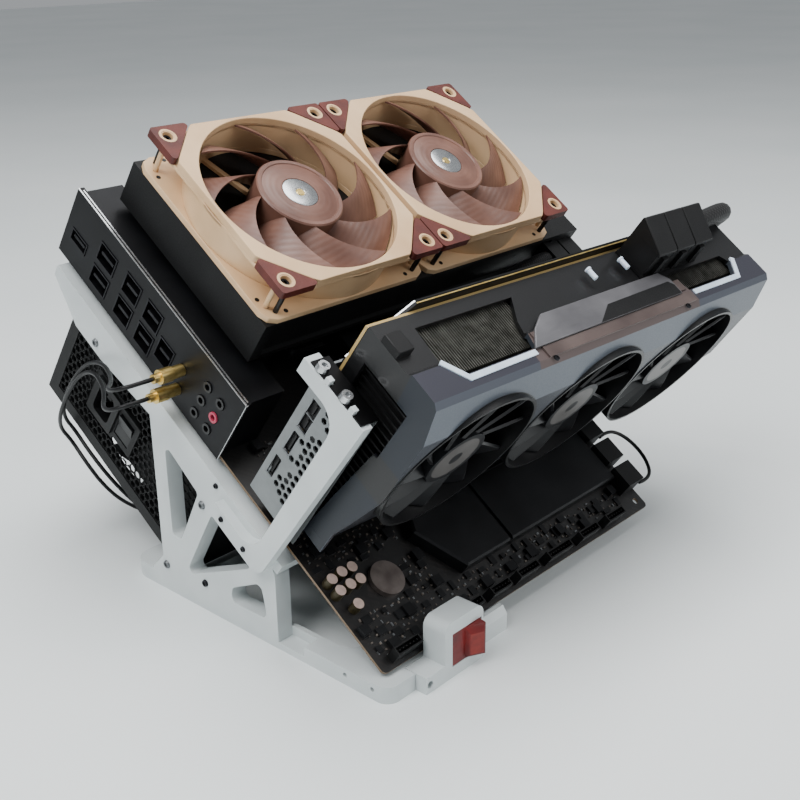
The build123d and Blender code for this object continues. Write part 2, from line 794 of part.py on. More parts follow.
# Liquid cooler: pump, radiator, two fans with corner pads, and two hoses
with BuildPart() as pump_block:
    block(board, (pump_x - 30, pump_x + 30), (pump_s - 30, pump_s + 30), (7.3, 14), Mode.ADD, 6)
    rod(board.offset(14), [(pump_x, pump_s)], pump_across, 26)
    for inlet_x, inlet_s in ((124, 165), (102, 150)):
        block(board, (inlet_x - 7, inlet_x + 7), (inlet_s, pump_s - 20), (17, 31), Mode.ADD, 3)
pieces["pump_block"] = pump_block

fan_bottom = fan_top - fan_depth
core_x = (fan_first + 0.5, fan_first + 0.5 + radiator_length)
core_y = (fan_front + 0.2, fan_front + fan_size + 1.8)
core_z = (fan_bottom - radiator_depth, fan_bottom)
fan_centres = [
    (fan_first + fan_size / 2, fan_front + fan_size / 2),
    (fan_first + fan_spacing + fan_size / 2, fan_front + fan_size / 2),
]
half = fan_hole_pitch / 2
fan_corners = [(half, half), (-half, half), (-half, -half), (half, -half)]
fan_holes = [(c[0] + k[0], c[1] + k[1]) for c in fan_centres for k in fan_corners]
with BuildPart() as radiator:
    block(board, core_x, core_y, core_z)
    side_x = (core_x[0] + 7, core_x[1] - 25)
    side_z = (core_z[0] + 3, core_z[1] - 3)
    for near in (core_y[0], core_y[1] - 2.5):
        block(board, side_x, (near, near + 2.5), side_z, Mode.SUBTRACT)
    rod(board.offset(fan_bottom - 5), fan_holes, screw_bore, 5, Mode.SUBTRACT)
    for elbow_x, elbow_s in (((255, 268), 150), ((269.5, 283), 135)):
        block(board, elbow_x, (elbow_s, core_y[0] + 3), (54, 68), Mode.ADD, 2)
pieces["radiator"] = radiator

shell_z = (fan_bottom + 5, fan_top)
frame_labels = ("fan_frame_left", "fan_frame_right")
rotor_labels = ("fan_rotor_left", "fan_rotor_right")
fan_blades = (rotor_blades, 20, 36, 24)
for centre, frame_label, rotor_label in zip(fan_centres, frame_labels, rotor_labels):
    base = centred(board, centre)
    with BuildPart() as fan_frame:
        edge = fan_size / 2
        waist = edge - 2
        block(base, (-edge, edge), (-edge, edge), (fan_bottom, shell_z[0]), Mode.ADD, 8)
        block(base, (-waist, waist), (-waist, waist), shell_z, Mode.ADD, 10)
        rod(base.offset(fan_bottom), [(0, 0)], fan_bore, fan_depth, Mode.SUBTRACT)
        with BuildSketch(base.offset(fan_bottom)):
            with Locations(Location((0, 0, 0), (0, 0, 20))):
                Rectangle(fan_bore + 1, 5)
                Rectangle(5, fan_bore + 1)
            Circle(rotor_hub / 2)
        extrude(amount=3.5)
        rod(base.offset(fan_bottom), [(0, 0)], axle_bore, 3.5, Mode.SUBTRACT)
        rod(base.offset(fan_bottom), fan_corners, 4.4, fan_depth, Mode.SUBTRACT)
        for index, corner in enumerate(fan_corners):
            corner_plane = centred(base.offset(fan_top - pad_thickness), (0, 0), 90 * index)
            seat = [
                (edge + 1, edge + 1),
                (edge - pad_size - 1, edge + 1),
                (edge + 1, edge - pad_size - 1),
            ]
            slab(corner_plane, seat, pad_thickness, Mode.SUBTRACT)
    pieces[frame_label] = fan_frame
    hub_plane = base.offset(fan_bottom + 4.5)
    hub_height = fan_depth - 6.0
    pieces[rotor_label] = rotor(
        hub_plane, rotor_hub, fan_bore / 2 - rotor_clearance, hub_height, fan_blades
    )

with BuildPart() as fan_corner_pads:
    for centre in fan_centres:
        for index in range(4):
            base = centred(board.offset(fan_top - pad_thickness), centre, 90 * index)
            edge = fan_size / 2
            outline = [
                (edge - 0.1, edge - 0.1),
                (edge - pad_size + 0.6, edge - 0.1),
                (edge - 0.1, edge - pad_size + 0.6),
            ]
            slab(base, outline, pad_thickness, Mode.ADD, 2)
            rod(base, [(half, half)], 7.2, pad_thickness, Mode.SUBTRACT)
pieces["fan_corner_pads"] = fan_corner_pads

with BuildPart() as fan_screws:
    rod(board.offset(fan_top - pad_thickness), fan_holes, screw_head, 2.4)
    shank_from = fan_bottom - 4.6
    rod(board.offset(shank_from), fan_holes, screw_shank, fan_top - pad_thickness - shank_from)
pieces["fan_screws"] = fan_screws
# Graphics card, in its own frame that sags a little towards the far end
card_x = (card_start, card_start + card_length)
shroud_outline = (
    (-wall_gap, card_top - 2),
    (-29, card_top - 2),
    (-31, card_top),
    (-47, card_top),
    (-50, card_top - 2.5),
    (-55, 118),
    (-55, 75),
    (-48, 45),
    (-41, 20),
    (-27, 16),
    (-wall_gap, 16),
)
fan_face = front_of(card, -55.6)
rotor_spots = [(x, card_fan_height) for x in card_fan_centres]
strip_outline = (
    (20.6, -30.6), (30.6, -43.6), (80, -43.2), (80, -40.2), (32.0, -40.4), (23.2, -28.9),
)
card_middle = card_start + card_length / 2


def mirrored(outline):
    """Outline turned over end to end, about the middle of the card."""
    return tuple((2 * card_middle - x, y) for x, y in outline)


window_outline = ((24.2, -28.7), (32.6, -39.6), (82, -39.4), (87, -22), (96, -8), (26, -8))
with BuildPart() as card_shroud:
    slab(side_of(card, card_x[0]), shroud_outline, card_length)
    with BuildSketch(side_of(card, card_x[0] + shroud_wall)):
        with BuildLine():
            Polyline(*shroud_outline, close=True)
        make_face()
        offset(amount=-shroud_wall, kind=Kind.INTERSECTION)
    extrude(amount=card_length - 2 * shroud_wall, mode=Mode.SUBTRACT)
    rod(fan_face.offset(-18), rotor_spots, card_fan_bore + 2 * card_rim, 18)
    rod(fan_face.offset(-20), rotor_spots, card_fan_bore, 22, Mode.SUBTRACT)
    far_window = mirrored(((24.2, -28.7), (32.6, -39.6), (82, -39.4), (86.5, -24.5), (27, -24.5)))
    for outline in (window_outline, far_window):
        slab(card.offset(card_top - 6), outline, 8, Mode.SUBTRACT)
    for outline in (strip_outline, mirrored(strip_outline)):
        slab(card.offset(card_top - 0.8), outline, 2, Mode.SUBTRACT)
    block(card, (card_x[0] - 1, card_x[0] + 4), (-40, -8), (22, 122), Mode.SUBTRACT)
    plug_x = (plug_left - wall_gap, plug_left + 3 * plug_width + wall_gap)
    block(card, plug_x, (plug_front - wall_gap, plug_back + wall_gap), (120, 142), Mode.SUBTRACT)
pieces["card_shroud"] = card_shroud

with BuildPart() as card_light_strips:
    for outline in (strip_outline, mirrored(strip_outline)):
        slab(card.offset(card_top - 0.8), outline, 1.4)
pieces["card_light_strips"] = card_light_strips

with BuildPart() as card_fins:
    block(card, (card_x[0] + 6, card_x[1] - 6), (-36, -3), (22, 116))
    block(card, (24, 96), (-36, -5), (116, card_top - 5))
    block(card, (2 * card_middle - 96, 2 * card_middle - 24), (-36, -23), (116, card_top - 5))
    for place in range(18):
        for left in (26 + 4 * place, 2 * card_middle - 96 + 4 * place):
            block(card, (left, left + 2.6), (-36, -5), (112, card_top), Mode.SUBTRACT)
    rod(front_of(card, -36), rotor_spots, 22, card_fan_post)
    rod(front_of(card, -30), rotor_spots, axle_bore, 6 + card_fan_post, Mode.SUBTRACT)
pieces["card_fins"] = card_fins

card_blades = (card_fan_blades, 12, 26, 30)
for index, spot in enumerate(rotor_spots):
    back = centred(front_of(card, -36.5 - card_fan_post), spot)
    reach = card_fan_bore / 2 - rotor_clearance
    wheel = rotor(back, card_fan_hub, reach, card_fan_depth, card_blades)
    pieces[f"card_fan_{index + 1}"] = wheel

board_y = (0, card_board_thickness)
fingers_x = (46, 134)
with BuildPart() as card_board:
    block(card, (card_x[0], card_x[1] - 22), board_y, (12, card_board_top))
    block(card, fingers_x, board_y, (card_board_bottom, 12))
    block(card, (57, 59), board_y, (card_board_bottom, 11), Mode.SUBTRACT)
pieces["card_board"] = card_board

plate_y = (board_y[1] + wall_gap, board_y[1] + wall_gap + 2.2)
with BuildPart() as card_backplate:
    back_outline = (
        (6, 24), (16, 14), (card_x[1], 14), (card_x[1], card_top - 8), (286, backplate_top),
        (34, backplate_top), (6, 112),
    )
    slab(front_of(card, plate_y[1]), back_outline, plate_y[1] - plate_y[0])
    for place in range(9):
        left = 180 + 10 * place
        slot = ((left, 40), (left + 5, 40), (left + 25, 112), (left + 20, 112))
        slab(front_of(card, plate_y[1]), slot, plate_y[1] - plate_y[0], Mode.SUBTRACT)
pieces["card_backplate"] = card_backplate

bracket_x = (-bracket_thickness, 0)
with BuildPart() as card_bracket:
    bracket_y = (bracket_front, bracket_rear)
    block(card, bracket_x, bracket_y, (6, arm_reach + bracket_thickness))
    block(card, (-11, 0), bracket_y, (arm_reach, arm_reach + bracket_thickness))
    rod(card.offset(arm_reach), bracket_screw_spots, screw_bore, 2, Mode.SUBTRACT)
    for row in lug_rows:
        gap_y = (row - card_seat - 0.8, row - card_seat + lug_size + 0.4)
        block(card, (-12, -7.7), gap_y, (arm_reach, arm_reach + 2), Mode.SUBTRACT)
    with BuildSketch(side_of(card, bracket_x[0])):
        with Locations((-14, 84)):
            with HexLocations(3.2, 5, 5):
                RegularPolygon(2.4, 4)
        for low, high in ((14, 30), (34, 50), (54, 68)):
            with Locations((-1.5, (low + high) / 2)):
                Rectangle(6, high - low)
    extrude(amount=bracket_thickness, mode=Mode.SUBTRACT)
    block(card, (0, card_x[0] + 3), (bracket_rear - 4.8, bracket_rear - 3.8), (20, 28))
    for low in (20, 100):
        foot_y = (plate_y[1], plate_y[1] + 1.2)
        block(card, (0, 14), foot_y, (low, low + 8))
pieces["card_bracket"] = card_bracket

with BuildPart() as bracket_screws:
    rod(card.offset(arm_reach + bracket_thickness), bracket_screw_spots, 6.8, 3)
    shank_plane = card.offset(arm_reach - 5)
    rod(shank_plane, bracket_screw_spots, screw_shank, 5 + bracket_thickness)
pieces["bracket_screws"] = bracket_screws

with BuildPart() as card_trim:
    block(card, (85, 219), (-47, -40.6), (card_top, card_top + 1))
    block(card, (85, 219), (-38.5, -31.2), (card_top, card_top + 0.8))
pieces["card_trim"] = card_trim

with BuildPart() as card_sockets:
    for index in range(3):
        left = plug_left + index * plug_width
        socket_x = (left + 0.2, left + plug_width - 0.2)
        block(card, socket_x, (plug_front, plug_back), (122, card_top))
pieces["card_sockets"] = card_sockets

with BuildPart() as card_plugs:
    for index in range(3):
        left = plug_left + index * plug_width
        plug_span = (left + 0.4, left + plug_width - 0.4)
        block(card, plug_span, (plug_front + 0.6, plug_back - 0.6), (card_top, card_top + 15))
        latch = (left + plug_width / 2 - 2.5, left + plug_width / 2 + 2.5)
        block(card, latch, (plug_front - 1.6, plug_front + 0.6), (card_top + 1, card_top + 13))
pieces["card_plugs"] = card_plugs

with BuildPart() as graphics_slot:
    block(card, (43, 137), (-2.9, 4.5), (0, 11))
    block(card, (45.4, 134.6), (-0.06, board_y[1] + 0.06), (2.8, 11), Mode.SUBTRACT)
pieces["graphics_slot"] = graphics_slot

# Screws of the frame and of the power supply, seated on the outer faces
with BuildPart() as frame_screws:
    head_plane = side_of(board, base_left - screw_head_height)
    rod(head_plane, [rail_screw], 5.6, screw_head_height)
    rod(side_of(board, base_left), [rail_screw], screw_shank, 5.6)
    rod(upright(base_left - screw_head_height), truss_foot_screw, 5.6, screw_head_height)
    rod(upright(base_left), truss_foot_screw, screw_shank, 5.6)
    rod(side_of(board, arm_left - screw_head_height), arm_screw_spots, 6.4, screw_head_height)
    rod(side_of(board, arm_left), arm_screw_spots, screw_shank, arm_thickness + 5.6)
    rod(side_of(board, base_left - screw_head_height), psu_screw_spots, 6.4, screw_head_height)
    psu_shank = truss_thickness + screw_length - 0.4
    rod(side_of(board, base_left), psu_screw_spots, screw_shank, psu_shank)
pieces["frame_screws"] = frame_screws


def tube(points, diameter):
    """Cord along a hand-chosen route, with a rounded bend at each inner point."""
    places = [Vector(*point) for point in points]
    radii = []
    for before, here, after in zip(places, places[1:], places[2:]):
        turn = math.radians((here - before).get_angle(after - here))
        run = min((here - before).length, (after - here).length)
        radii.append(0.45 * run / math.tan(turn / 2))
    with BuildPart() as cord:
        with BuildLine() as path:
            FilletPolyline(*places, radius=radii)
        route = path.wires()[0]
        with BuildSketch(Plane(origin=route @ 0, z_dir=route % 0)):
            Circle(diameter / 2)
        sweep(path=route)
    section = math.pi * diameter * diameter / 4
    share = cord.part.volume / (section * route.length)
    print("cord", round(route.length, 1), "share", round(share, 4))
    print("radii", [round(radius, 1) for radius in radii])
    return cord


def from_board(points):
    """Route given along the board, as points of the whole bench."""
    return [tuple(board.from_local_coords(point)) for point in points]


pieces["hose_front"] = tube(from_board(hose_front_route), hose_diameter)
pieces["hose_rear"] = tube(from_board(hose_rear_route), hose_diameter)
pieces["graphics_lead"] = tube(from_board(graphics_lead_route), graphics_lead_diameter)
pieces["loop_cable"] = tube(from_board(loop_cable_route), loop_cable_diameter)

antenna_routes = {
    "antenna_lead_upper": upper_lead_route,
    "antenna_lead_lower": lower_lead_route,
}
for label, route in antenna_routes.items():
    pieces[label] = tube(from_board(route), lead_diameter)

coil_labels = ("antenna_coil_upper", "antenna_coil_lower")
for label, centre in zip(coil_labels, coil_centres):
    with BuildPart() as coil:
        with BuildSketch(centred(table, centre)):
            Circle((coil_size + coil_section) / 2)
            Circle((coil_size - coil_section) / 2, mode=Mode.SUBTRACT)
        extrude(amount=coil_section)
        fillet(coil.edges(), coil_section * 0.3)
    pieces[label] = coil

with BuildPart() as antenna_plugs:
    rod(side_of(board, -16.5), antenna_spots, 8, 7.5)
    rod(side_of(board, -9), antenna_spots, 6.9, 7.2)
    rod(side_of(board, -20.5), antenna_spots, 5, 4)
    rod(side_of(board, -9), antenna_spots, 6.1, 7.2, Mode.SUBTRACT)
pieces["antenna_plugs"] = antenna_plugs

os.makedirs("parts", exist_ok=True)
for label, piece in pieces.items():
    piece.part.label = label
    export_step(piece.part, f"parts/{label}.step")
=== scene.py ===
import math

import bmesh
import bpy
from mathutils import Matrix, Vector


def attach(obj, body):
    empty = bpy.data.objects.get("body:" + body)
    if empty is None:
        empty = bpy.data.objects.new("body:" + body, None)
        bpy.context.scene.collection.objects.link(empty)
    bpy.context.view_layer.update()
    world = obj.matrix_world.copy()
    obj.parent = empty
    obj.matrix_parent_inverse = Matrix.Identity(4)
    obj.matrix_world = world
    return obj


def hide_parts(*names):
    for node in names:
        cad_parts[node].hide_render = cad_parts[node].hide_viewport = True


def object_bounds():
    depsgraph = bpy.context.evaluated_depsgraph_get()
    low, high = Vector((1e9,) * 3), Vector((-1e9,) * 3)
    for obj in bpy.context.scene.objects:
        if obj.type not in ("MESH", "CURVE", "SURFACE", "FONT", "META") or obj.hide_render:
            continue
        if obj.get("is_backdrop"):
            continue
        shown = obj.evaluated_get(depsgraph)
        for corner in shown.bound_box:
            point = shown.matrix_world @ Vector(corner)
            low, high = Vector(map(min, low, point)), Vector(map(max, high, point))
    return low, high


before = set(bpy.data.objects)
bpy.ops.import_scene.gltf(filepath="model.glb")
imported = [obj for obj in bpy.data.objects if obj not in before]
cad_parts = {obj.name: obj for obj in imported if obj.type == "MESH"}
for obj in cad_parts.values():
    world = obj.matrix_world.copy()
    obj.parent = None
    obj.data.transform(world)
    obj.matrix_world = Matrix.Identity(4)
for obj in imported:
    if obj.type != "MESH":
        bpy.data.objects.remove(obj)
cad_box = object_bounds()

MM = 0.001

# The body that everything without a joint rides on
bench = "bench"

# Where things are measured from: the motherboard's lower near corner, in millimetres
TILT = math.radians(36)
CORNER = Matrix.Translation((-0.0825, -0.011, 0.0125)) @ Matrix.Diagonal((MM, MM, MM, 1))
TABLE = Matrix.Translation((-0.0825, -0.011, 0)) @ Matrix.Diagonal((MM, MM, MM, 1))
BOARD = CORNER @ Matrix.Rotation(TILT, 4, "X")
CARD = BOARD @ Matrix.Translation((0, 110, 0)) @ Matrix.Rotation(math.radians(-1.5), 4, "Z")
# Turned frames: ACROSS draws an outline in y and z, FACING draws it in x and z
ACROSS = Matrix(((0, 0, 1, 0), (1, 0, 0, 0), (0, 1, 0, 0), (0, 0, 0, 1)))
FACING = Matrix(((1, 0, 0, 0), (0, 0, -1, 0), (0, 1, 0, 0), (0, 0, 0, 1)))
SIDE, BRACKET, CARD_FACE = BOARD @ ACROSS, CARD @ ACROSS, CARD @ FACING

BOARD_UP = (BOARD.to_3x3() @ Vector((0, 0, 1))).normalized()
CARD_OUT = (CARD.to_3x3() @ Vector((0, -1, 0))).normalized()
CARD_TURN = CARD.to_3x3().normalized()

# Axles of the two case fans on the board's frame, and of the three card fans on the card's
fan_centres = ((73.5, 223.8), (194.2, 223.8))
card_fans = [(x, 82) for x in (52, 148, 244)]
CORNERS = ((1, 1), (-1, 1), (-1, -1), (1, -1))


def put(name, data):
    """An object that holds some data, in the scene."""
    made = bpy.data.objects.new(name, data)
    bpy.context.collection.objects.link(made)
    return made


# Camera at the photograph's angle
lens = bpy.data.cameras.new("bench_camera")
lens.lens = 53.335
lens.sensor_width = 36
lens.shift_y = -3 / 800
lens.clip_start = 0.01
camera = put("bench_camera", lens)
camera.location = (-0.438478, -0.34953, 0.348715)
camera.rotation_euler = [math.radians(angle) for angle in (68.7823, 0.7971, -47.8674)]
bpy.context.scene.camera = camera


def linear(code):
    """sRGB hex as the linear colour that the shaders take."""
    parts = [int(code[place:place + 2], 16) / 255 for place in (0, 2, 4)]
    return [c / 12.92 if c <= 0.04045 else ((c + 0.055) / 1.055) ** 2.4 for c in parts] + [1]


def add(tree, kind, inputs=(), out=None, **settings):
    """A node with its settings, and its inputs as values or as links. Gives its output in use."""
    made = tree.nodes.new(kind)
    for name, value in settings.items():
        setattr(made, name, value)
    for name, value in dict(inputs).items():
        if isinstance(value, bpy.types.NodeSocket):
            tree.links.new(value, made.inputs[name])
        else:
            made.inputs[name].default_value = value
    return made.outputs[out] if out else next((socket for socket in made.outputs if socket.enabled), None)


def feed(shader, links):
    """Links each value to its socket of the shader."""
    for socket, value in links.items():
        shader.id_data.links.new(value, shader.inputs[socket])


def span(value, low, high, start=0.0, end=1.0):
    """What a Map Range is given to move a value from one span to another."""
    return {"Value": value, "From Min": start, "From Max": end, "To Min": low, "To Max": high}


def blend(share, dark, light):
    """What a colour Mix is given to go from one tone to another, each as hex or as a link."""
    dark, light = [linear(tone) if isinstance(tone, str) else tone for tone in (dark, light)]
    return {0: share, 6: dark, 7: light}


def per_mm(size):
    """Texture scale that gives features of that many millimetres."""
    return 1000 / size


def per_wave(size):
    """Scale of a wave texture whose bands lie about twice that many millimetres apart."""
    return per_mm(size) / 6.283


def surface(name, sockets):
    """A material with its shader, and the place of each point on the object."""
    finish = bpy.data.materials.new(name)
    finish.use_nodes = True
    tree = finish.node_tree
    shader = tree.nodes["Principled BSDF"]
    for socket, value in sockets.items():
        shader.inputs[socket].default_value = value
    place = add(tree, "ShaderNodeTexCoord", out="Object")
    return finish, tree, shader, place


def grainy(name, dark, light, patch, grain, depth, rough, metallic=0.0, stretch=(1, 1, 1), **sockets):
    """Finish with patches of tone, a fine grain and a gloss that varies with both.

    patch and grain are sizes in millimetres, depth is the grain's height in millimetres,
    rough is the gloss at its two ends, and stretch draws the grain out along an axis."""
    finish, tree, shader, place = surface(name, {"Metallic": metallic, **sockets})
    drawn = add(tree, "ShaderNodeMapping", {"Vector": place, "Scale": stretch})
    patches = add(tree, "ShaderNodeTexNoise", {"Vector": place, "Scale": per_mm(patch), "Detail": 3.0})
    grains = add(tree, "ShaderNodeTexNoise", {"Vector": drawn, "Scale": per_mm(grain), "Detail": 4.0})
    mask = add(tree, "ShaderNodeMapRange", span(patches, 0, 1, 0.3, 0.7))
    feed(shader, {
        "Base Color": add(tree, "ShaderNodeMix", blend(mask, dark, light), data_type="RGBA"),
        "Roughness": add(tree, "ShaderNodeMapRange", span(grains, *rough, 0.3, 0.7)),
        "Normal": add(tree, "ShaderNodeBump", {"Height": grains, "Distance": depth * MM, "Strength": 0.6}),
    })
    return finish


# What a dry, dull surface gives back of the light that falls on it
dull = {"Specular IOR Level": 0.32}

# Powder-coated aluminium, cool white: satin with a faint orange peel
white_coat = grainy("white_powder_coat", "bcc3c4", "d3d9d9", 60, 1.2, 0.05, (0.38, 0.52))
# Powder-coated steel, matt black: dry, with a fine grit
black_coat = grainy("black_powder_coat", "050506", "0f1011", 25, 0.7, 0.05, (0.5, 0.66), **dull)
# Moulded nylon, black: dull with a light spark-eroded texture
black_nylon = grainy("black_moulded_nylon", "040405", "0d0d0e", 14, 0.5, 0.03, (0.42, 0.58), **dull)
# Moulded ABS, black, smoother than the nylon
black_abs = grainy("black_abs", "08080a", "141517", 20, 0.8, 0.015, (0.3, 0.42), **dull)
# Flexible PVC, black: the smooth, slightly glossy jacket of a thin lead
lead_jacket = grainy("black_pvc_jacket", "050506", "0e0e10", 15, 0.8, 0.006, (0.32, 0.45), **dull)
# Bead-blasted and anodised aluminium, near black: soft metal sheen
black_anodised = grainy("black_anodised_aluminium", "0b0b0d", "17181b", 30, 0.4, 0.012,
                        (0.36, 0.5), 0.5, **dull)
# Brushed and anodised aluminium, charcoal: hairlines along the board
charcoal_brushed = grainy("charcoal_brushed_aluminium", "121214", "1f2022", 40, 0.5, 0.012,
                          (0.34, 0.5), 0.6, (0.06, 1, 1))
# Nickel-plated steel: bright, slightly uneven
nickel = grainy("nickel_plated_steel", "b4b6b8", "d2d4d5", 8, 0.5, 0.0004, (0.24, 0.34), 1.0)
# Tin-plated sheet steel: greyer and duller than nickel
tin_plate = grainy("tin_plated_steel", "707274", "9a9d9f", 7, 0.6, 0.0005, (0.34, 0.5), 1.0)
# Black-nickel plated steel: dark, with a grey gleam on its edges
black_nickel = grainy("black_nickel_plated_steel", "1c1c1f", "303034", 7, 0.6, 0.0005, (0.3, 0.46), 0.9)
# Gold-plated brass: warm and bright
gold = grainy("gold_plated_brass", "cfae62", "ecd38c", 4, 0.4, 0.0004, (0.3, 0.42), 1.0)
# Glass-fibre nylon in warm beige: matt, evenly grainy
beige_plastic = grainy("beige_glass_fibre_nylon", "cba67c", "dfbd94", 35, 0.6, 0.03, (0.42, 0.56))
# Silicone rubber, red-brown: soft and dull
brown_rubber = grainy("brown_silicone_rubber", "481a14", "63291f", 12, 0.8, 0.03, (0.5, 0.66))
# Turned steel cell, air-dulled: brownish grey and almost mirror-smooth
cell_steel = grainy("dulled_steel_cell", "6c625e", "8f8580", 9, 0.8, 0.0004, (0.3, 0.42), 0.85)
# Brushed aluminium in a warm grey, as a thin decorative strip
warm_brushed = grainy("warm_brushed_aluminium", "4f4341", "6e605c", 30, 0.5, 0.006,
                      (0.34, 0.48), 0.55, (0.05, 1, 1))
# Brushed aluminium, bare and paler: the label plate beside that strip
label_brushed = grainy("pale_brushed_aluminium", "5b5a5d", "79787b", 36, 0.6, 0.006,
                       (0.34, 0.5), 0.55, (0.05, 1, 1))
# Raw cut aluminium fins: grey, dulled by air
fin_metal = grainy("aluminium_fins", "403f3a", "6a6963", 6, 0.4, 0.006, (0.35, 0.55), 0.7)
# Fired ceramic of the chip capacitors: tan and matt, darker on the board than on the card
board_ceramic = grainy("tan_ceramic", "26201d", "6f675f", 2, 0.5, 0.004, (0.4, 0.55))
card_ceramic = grainy("card_ceramic", "2c211b", "6b5644", 2, 0.5, 0.004, (0.4, 0.55))
# Red polycarbonate: deep and evenly coloured, with a moulded gloss; its darker red on the lens's sloping sides
# is painted shade
lens_plastic = {"IOR": 1.58, **dull}
red_lens = grainy("red_polycarbonate", "4e0405", "720908", 12, 2.5, 0.002, (0.34, 0.46), **lens_plastic)
# The same plastic painted paler, as a painted highlight on the lens's face
lens_painted_highlight = grainy("red_polycarbonate_painted_highlight", "661310", "8c2a20", 5, 2.5, 0.002, (0.3, 0.42), **lens_plastic)
# Opal acrylic light guide: milky, with a faint emission that is a painted glow standing for the room's light on
# it
opal_painted_glow = grainy("opal_acrylic_painted_glow", "b9c4d4", "dbe4ef", 15, 1.0, 0.01, (0.22, 0.3), **{
    "Subsurface Weight": 0.1, "Emission Strength": 0.12, "Emission Color": linear("cfd9e8")})


def off_plane(tree, place, way, reach):
    """Distance of a point, in metres, past a plane that lies so many millimetres along a way of the card."""
    way = CARD_TURN @ Vector(way)
    run = add(tree, "ShaderNodeVectorMath", {0: place, 1: way}, operation="DOT_PRODUCT")
    line = way.dot(CARD.to_translation()) + reach * MM
    return add(tree, "ShaderNodeMath", {0: run, 1: line}, operation="SUBTRACT")


def from_fan(tree, place):
    """Distance of a point from the axle of the card's nearest fan, in metres."""
    (x, z), half = card_fans[0], (card_fans[1][0] - card_fans[0][0]) / 2 * MM
    run = off_plane(tree, place, (1, 0, 0), x)
    run = add(tree, "ShaderNodeMath", {0: run, 1: half, 2: -half}, operation="WRAP")
    both = add(tree, "ShaderNodeCombineXYZ", {"X": run, "Z": off_plane(tree, place, (0, 0, 1), z)})
    return add(tree, "ShaderNodeVectorMath", {0: both}, operation="LENGTH")


def looking(tree, way, low, high):
    """Share that goes from 0 to 1 as a face turns towards a way."""
    normal = add(tree, "ShaderNodeNewGeometry", out="Normal")
    level = add(tree, "ShaderNodeVectorMath", {0: normal, 1: way}, operation="DOT_PRODUCT")
    return add(tree, "ShaderNodeMapRange", span(level, 0, 1, low, high))


def parted(name, sockets, share_of, first, second, patch, rough, detail=3.0):
    """A surface in two finishes of two tones each. share_of gives the share of the second at a point.

    patch is the size of the clouds of tone in millimetres, and rough is the gloss at their two ends."""
    finish, tree, shader, place = surface(name, sockets)
    cloud = add(tree, "ShaderNodeTexNoise", {"Vector": place, "Scale": per_mm(patch), "Detail": detail})
    share = share_of(tree, place)
    tones = [add(tree, "ShaderNodeMix", blend(cloud, *pair), data_type="RGBA") for pair in (first, second)]
    feed(shader, {
        "Base Color": add(tree, "ShaderNodeMix", blend(share, *tones), data_type="RGBA"),
        "Roughness": add(tree, "ShaderNodeMapRange", span(cloud, *rough)),
    })
    return finish, tree, shader, share, cloud


def on_tab(tree, place):
    """The bracket's folded tab, which lies above its plate."""
    return add(tree, "ShaderNodeMapRange", span(off_plane(tree, place, (0, 0, 1), 108.6), 0, 1, 0, 0.1 * MM))


def in_pink_jack(tree, place):
    """The one pink jack, told by its place on the board."""
    spot = BOARD @ Vector((0, 156.5, 16.8))
    level = add(tree, "ShaderNodeMapping", {"Vector": place, "Location": (0, -spot.y, -spot.z)})
    level = add(tree, "ShaderNodeVectorMath", {0: level, 1: (0, 1, 1)}, operation="MULTIPLY")
    away = add(tree, "ShaderNodeVectorMath", {0: level}, operation="LENGTH")
    return add(tree, "ShaderNodeMapRange", span(away, 1, 0, 4.6 * MM, 5 * MM))


def on_silver_disc(tree, place):
    """The silver disc on the hub of a card fan, round its dark cap."""
    reach = from_fan(tree, place)
    disc = add(tree, "ShaderNodeMapRange", span(reach, 1, 0, 14.6 * MM, 14.8 * MM))
    cap = add(tree, "ShaderNodeMapRange", span(reach, 0, 1, 4.2 * MM, 4.4 * MM))
    return add(tree, "ShaderNodeMath", {0: disc, 1: cap}, operation="MULTIPLY")


# Stamped steel in nickel, with its tab sprayed black
bracket_steel = parted("stamped_bracket_steel", {"Metallic": 0.7}, on_tab,
                       ("6d7172", "919596"), ("08080a", "08080a"), 9, (0.3, 0.46))[0]
# Jack sockets of coloured ABS: black, and one of them pink
jack_plastic = parted("coloured_jack_plastic", {}, in_pink_jack,
                      ("0b0b0d", "0b0b0d"), ("b03a54", "b03a54"), 0.8, (0.34, 0.46), 2.0)[0]
# Aluminium cans of the capacitors: silver tops with a pink cast, and a tan sleeve
can_metal = parted("aluminium_capacitor_cans", {"Metallic": 0.55},
                   lambda tree, place: looking(tree, BOARD_UP, 0.6, 0.8),
                   ("231e11", "4a4128"), ("b29a90", "d9c2b6"), 2.5, (0.32, 0.46))[0]
# Glass-fibre plastic of the card's fans: black, with a disc of silver foil on each hub
card_fan_plastic, tree, shader, disc, cloud = parted(
    "black_fan_plastic", dull, on_silver_disc, ("070709", "131417"), ("5a5755", "7d7a78"), 9, (0.3, 0.46))
feed(shader, {
    "Metallic": add(tree, "ShaderNodeMapRange", span(disc, 0, 0.6)),
    "Normal": add(tree, "ShaderNodeBump", {"Height": cloud, "Distance": 0.01 * MM, "Strength": 0.4}),
})


